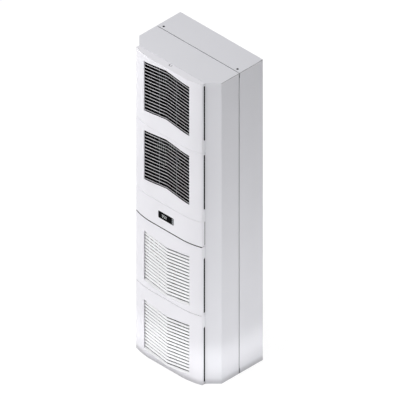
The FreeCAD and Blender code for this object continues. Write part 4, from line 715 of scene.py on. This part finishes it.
def dress_solids():
    """Every solid that stays gets its slot's finish; the lifting inserts are darkened, as their holes look black."""
    slots = {s["node"]: s["material_slot"] for s in frame["record"]["subparts"]}
    for node, solid in frame["nodes"].items():
        solid.data.materials.clear()
        solid.data.materials.append(LOOKS["blackened" if node == "lifting_inserts" else slots[node]])


# Soft boxes round the unit, low strips that brighten its foot, and narrow beams that lift single patches:
# place and aim in metres, width, height, fan angle, watts
LAMPS = (
    ("left_box", (-3.2, -1.2, 1.8), (-0.1, -0.1, 1.0), 1.6, 1.6, 180, 38.5),
    ("high_front_box", (-0.6, -2.4, 3.4), (0, -0.1, 1.2), 1.6, 1.6, 180, 52.5),
    ("corner_box", (2.2, -2.4, 1.0), (0.2, -0.1, 0.8), 1.6, 1.6, 180, 14),
    ("side_box", (3.2, 0.4, 0.3), (0, 0, 0.4), 1.6, 1.6, 180, 23),
    ("overhead_box", (0, 0.2, 3.4), (0, 0, 1.5), 2.0, 2.0, 180, 13),
    ("rear_box", (-1.2, 3.4, 1.6), (0, 0.1, 0.8), 2.0, 2.0, 180, 45),
    ("front_strip", (-0.1, -1.1, 0.3), (0, -0.17, 0.3), 1.2, 0.1, 180, 1.85),
    ("side_strip", (1.15, 0.05, 0.3), (0.25, 0.05, 0.3), 0.8, 0.1, 180, 1.45),
    ("upper_left_beam", (-1.45, -1.05, 1.5), (-0.2, -0.17, 1.48), 0.3, 0.3, 40, 0.14),
    ("lower_right_beam", (0.75, -1.25, 0.28), (0.17, -0.17, 0.28), 0.2, 0.2, 26, 0.022),
    ("front_beam", (-0.1, -1.15, 0.10), (0, -0.17, 0.11), 1.2, 0.1, 14, 0.12),
    ("side_beam", (1.2, 0.05, 0.10), (0.25, 0.05, 0.11), 0.9, 0.1, 14, 0.10),
)


def studio():
    """White surroundings that light the unit less than they show."""
    ambient = 0.3
    world = bpy.data.worlds.new("studio")
    bpy.context.scene.world = world
    world.use_nodes = True
    tree = world.node_tree
    tree.nodes.clear()
    ray = add(tree, "ShaderNodeLightPath").outputs
    seen = add(tree, "ShaderNodeMath", {0: ray["Is Camera Ray"], 1: ray["Is Transmission Ray"]}, operation="MAXIMUM")
    level = add(tree, "ShaderNodeMapRange", {0: seen.outputs[0], 3: ambient, 4: 1.0})
    light = add(tree, "ShaderNodeBackground", {"Color": linear("#ffffff"), "Strength": level.outputs[0]})
    add(tree, "ShaderNodeOutputWorld", {"Surface": light.outputs[0]})


def pale_floor():
    """Matt floor that the camera sees mostly as white, so that only a weak shadow shows."""
    reach, glow, share = 6, 1.08, 0.85
    ground = bpy.data.meshes.new("floor")
    ground.from_pydata([(-reach, -reach, 0), (reach, -reach, 0), (reach, reach, 0), (-reach, reach, 0)], [],
                       [(0, 1, 2, 3)])
    floor = bpy.data.objects.new("floor", ground)
    bpy.context.scene.collection.objects.link(floor)
    look, tree = bare("pale_studio_floor")
    ray = add(tree, "ShaderNodeLightPath")
    matt = add(tree, "ShaderNodeBsdfDiffuse", {"Color": linear("#f2f2f2")})
    white = add(tree, "ShaderNodeEmission", {"Color": linear("#ffffff"), "Strength": glow})
    seen = add(tree, "ShaderNodeMath", {0: ray.outputs["Is Camera Ray"], 1: share}, operation="MULTIPLY")
    mix = add(tree, "ShaderNodeMixShader", {0: seen.outputs[0], 1: matt.outputs[0], 2: white.outputs[0]})
    add(tree, "ShaderNodeOutputMaterial", {"Surface": mix.outputs[0]})
    ground.materials.append(look)


def lamps():
    """The lamps of the table, each turned to its aim."""
    for name, place, aim, wide, tall, fan, power in LAMPS:
        lamp = bpy.data.lights.new(name, "AREA")
        lamp.shape = "RECTANGLE"
        lamp.size, lamp.size_y = wide, tall
        lamp.spread = math.radians(fan)
        lamp.energy = power
        holder = bpy.data.objects.new(name, lamp)
        holder.location = place
        holder.rotation_mode = "QUATERNION"
        holder.rotation_quaternion = (Vector(aim) - Vector(place)).to_track_quat("-Z", "Y")
        bpy.context.scene.collection.objects.link(holder)


def isometric_camera():
    """True isometric camera: turned 45 degrees, raised until all three axes look equally long."""
    span, shift_right, shift_up, away = 1.717, 0.026, 0.008, 6
    turn, rise = math.radians(45), math.atan(math.sqrt(0.5))
    right = Vector((math.cos(turn), math.sin(turn), 0))
    back = Vector((math.sin(turn) * math.cos(rise), -math.cos(turn) * math.cos(rise), math.sin(rise)))
    up = back.cross(right)
    lens = bpy.data.cameras.new("view")
    lens.type = "ORTHO"
    lens.ortho_scale = span
    camera = bpy.data.objects.new("view", lens)
    camera.location = Vector((0, 0, HEIGHT / 2000)) + right * shift_right + up * shift_up + back * away
    camera.rotation_mode = "QUATERNION"
    camera.rotation_quaternion = (-back).to_track_quat("-Z", "Y")
    bpy.context.scene.collection.objects.link(camera)
    bpy.context.scene.camera = camera


dress_solids()
dress_grilles()
dress_lining()
dress_seals()
dress_strip()
dress_display()
dress_guards()
bpy.context.scene.view_settings.view_transform = "Standard"
studio()
pale_floor()
lamps()
isometric_camera()
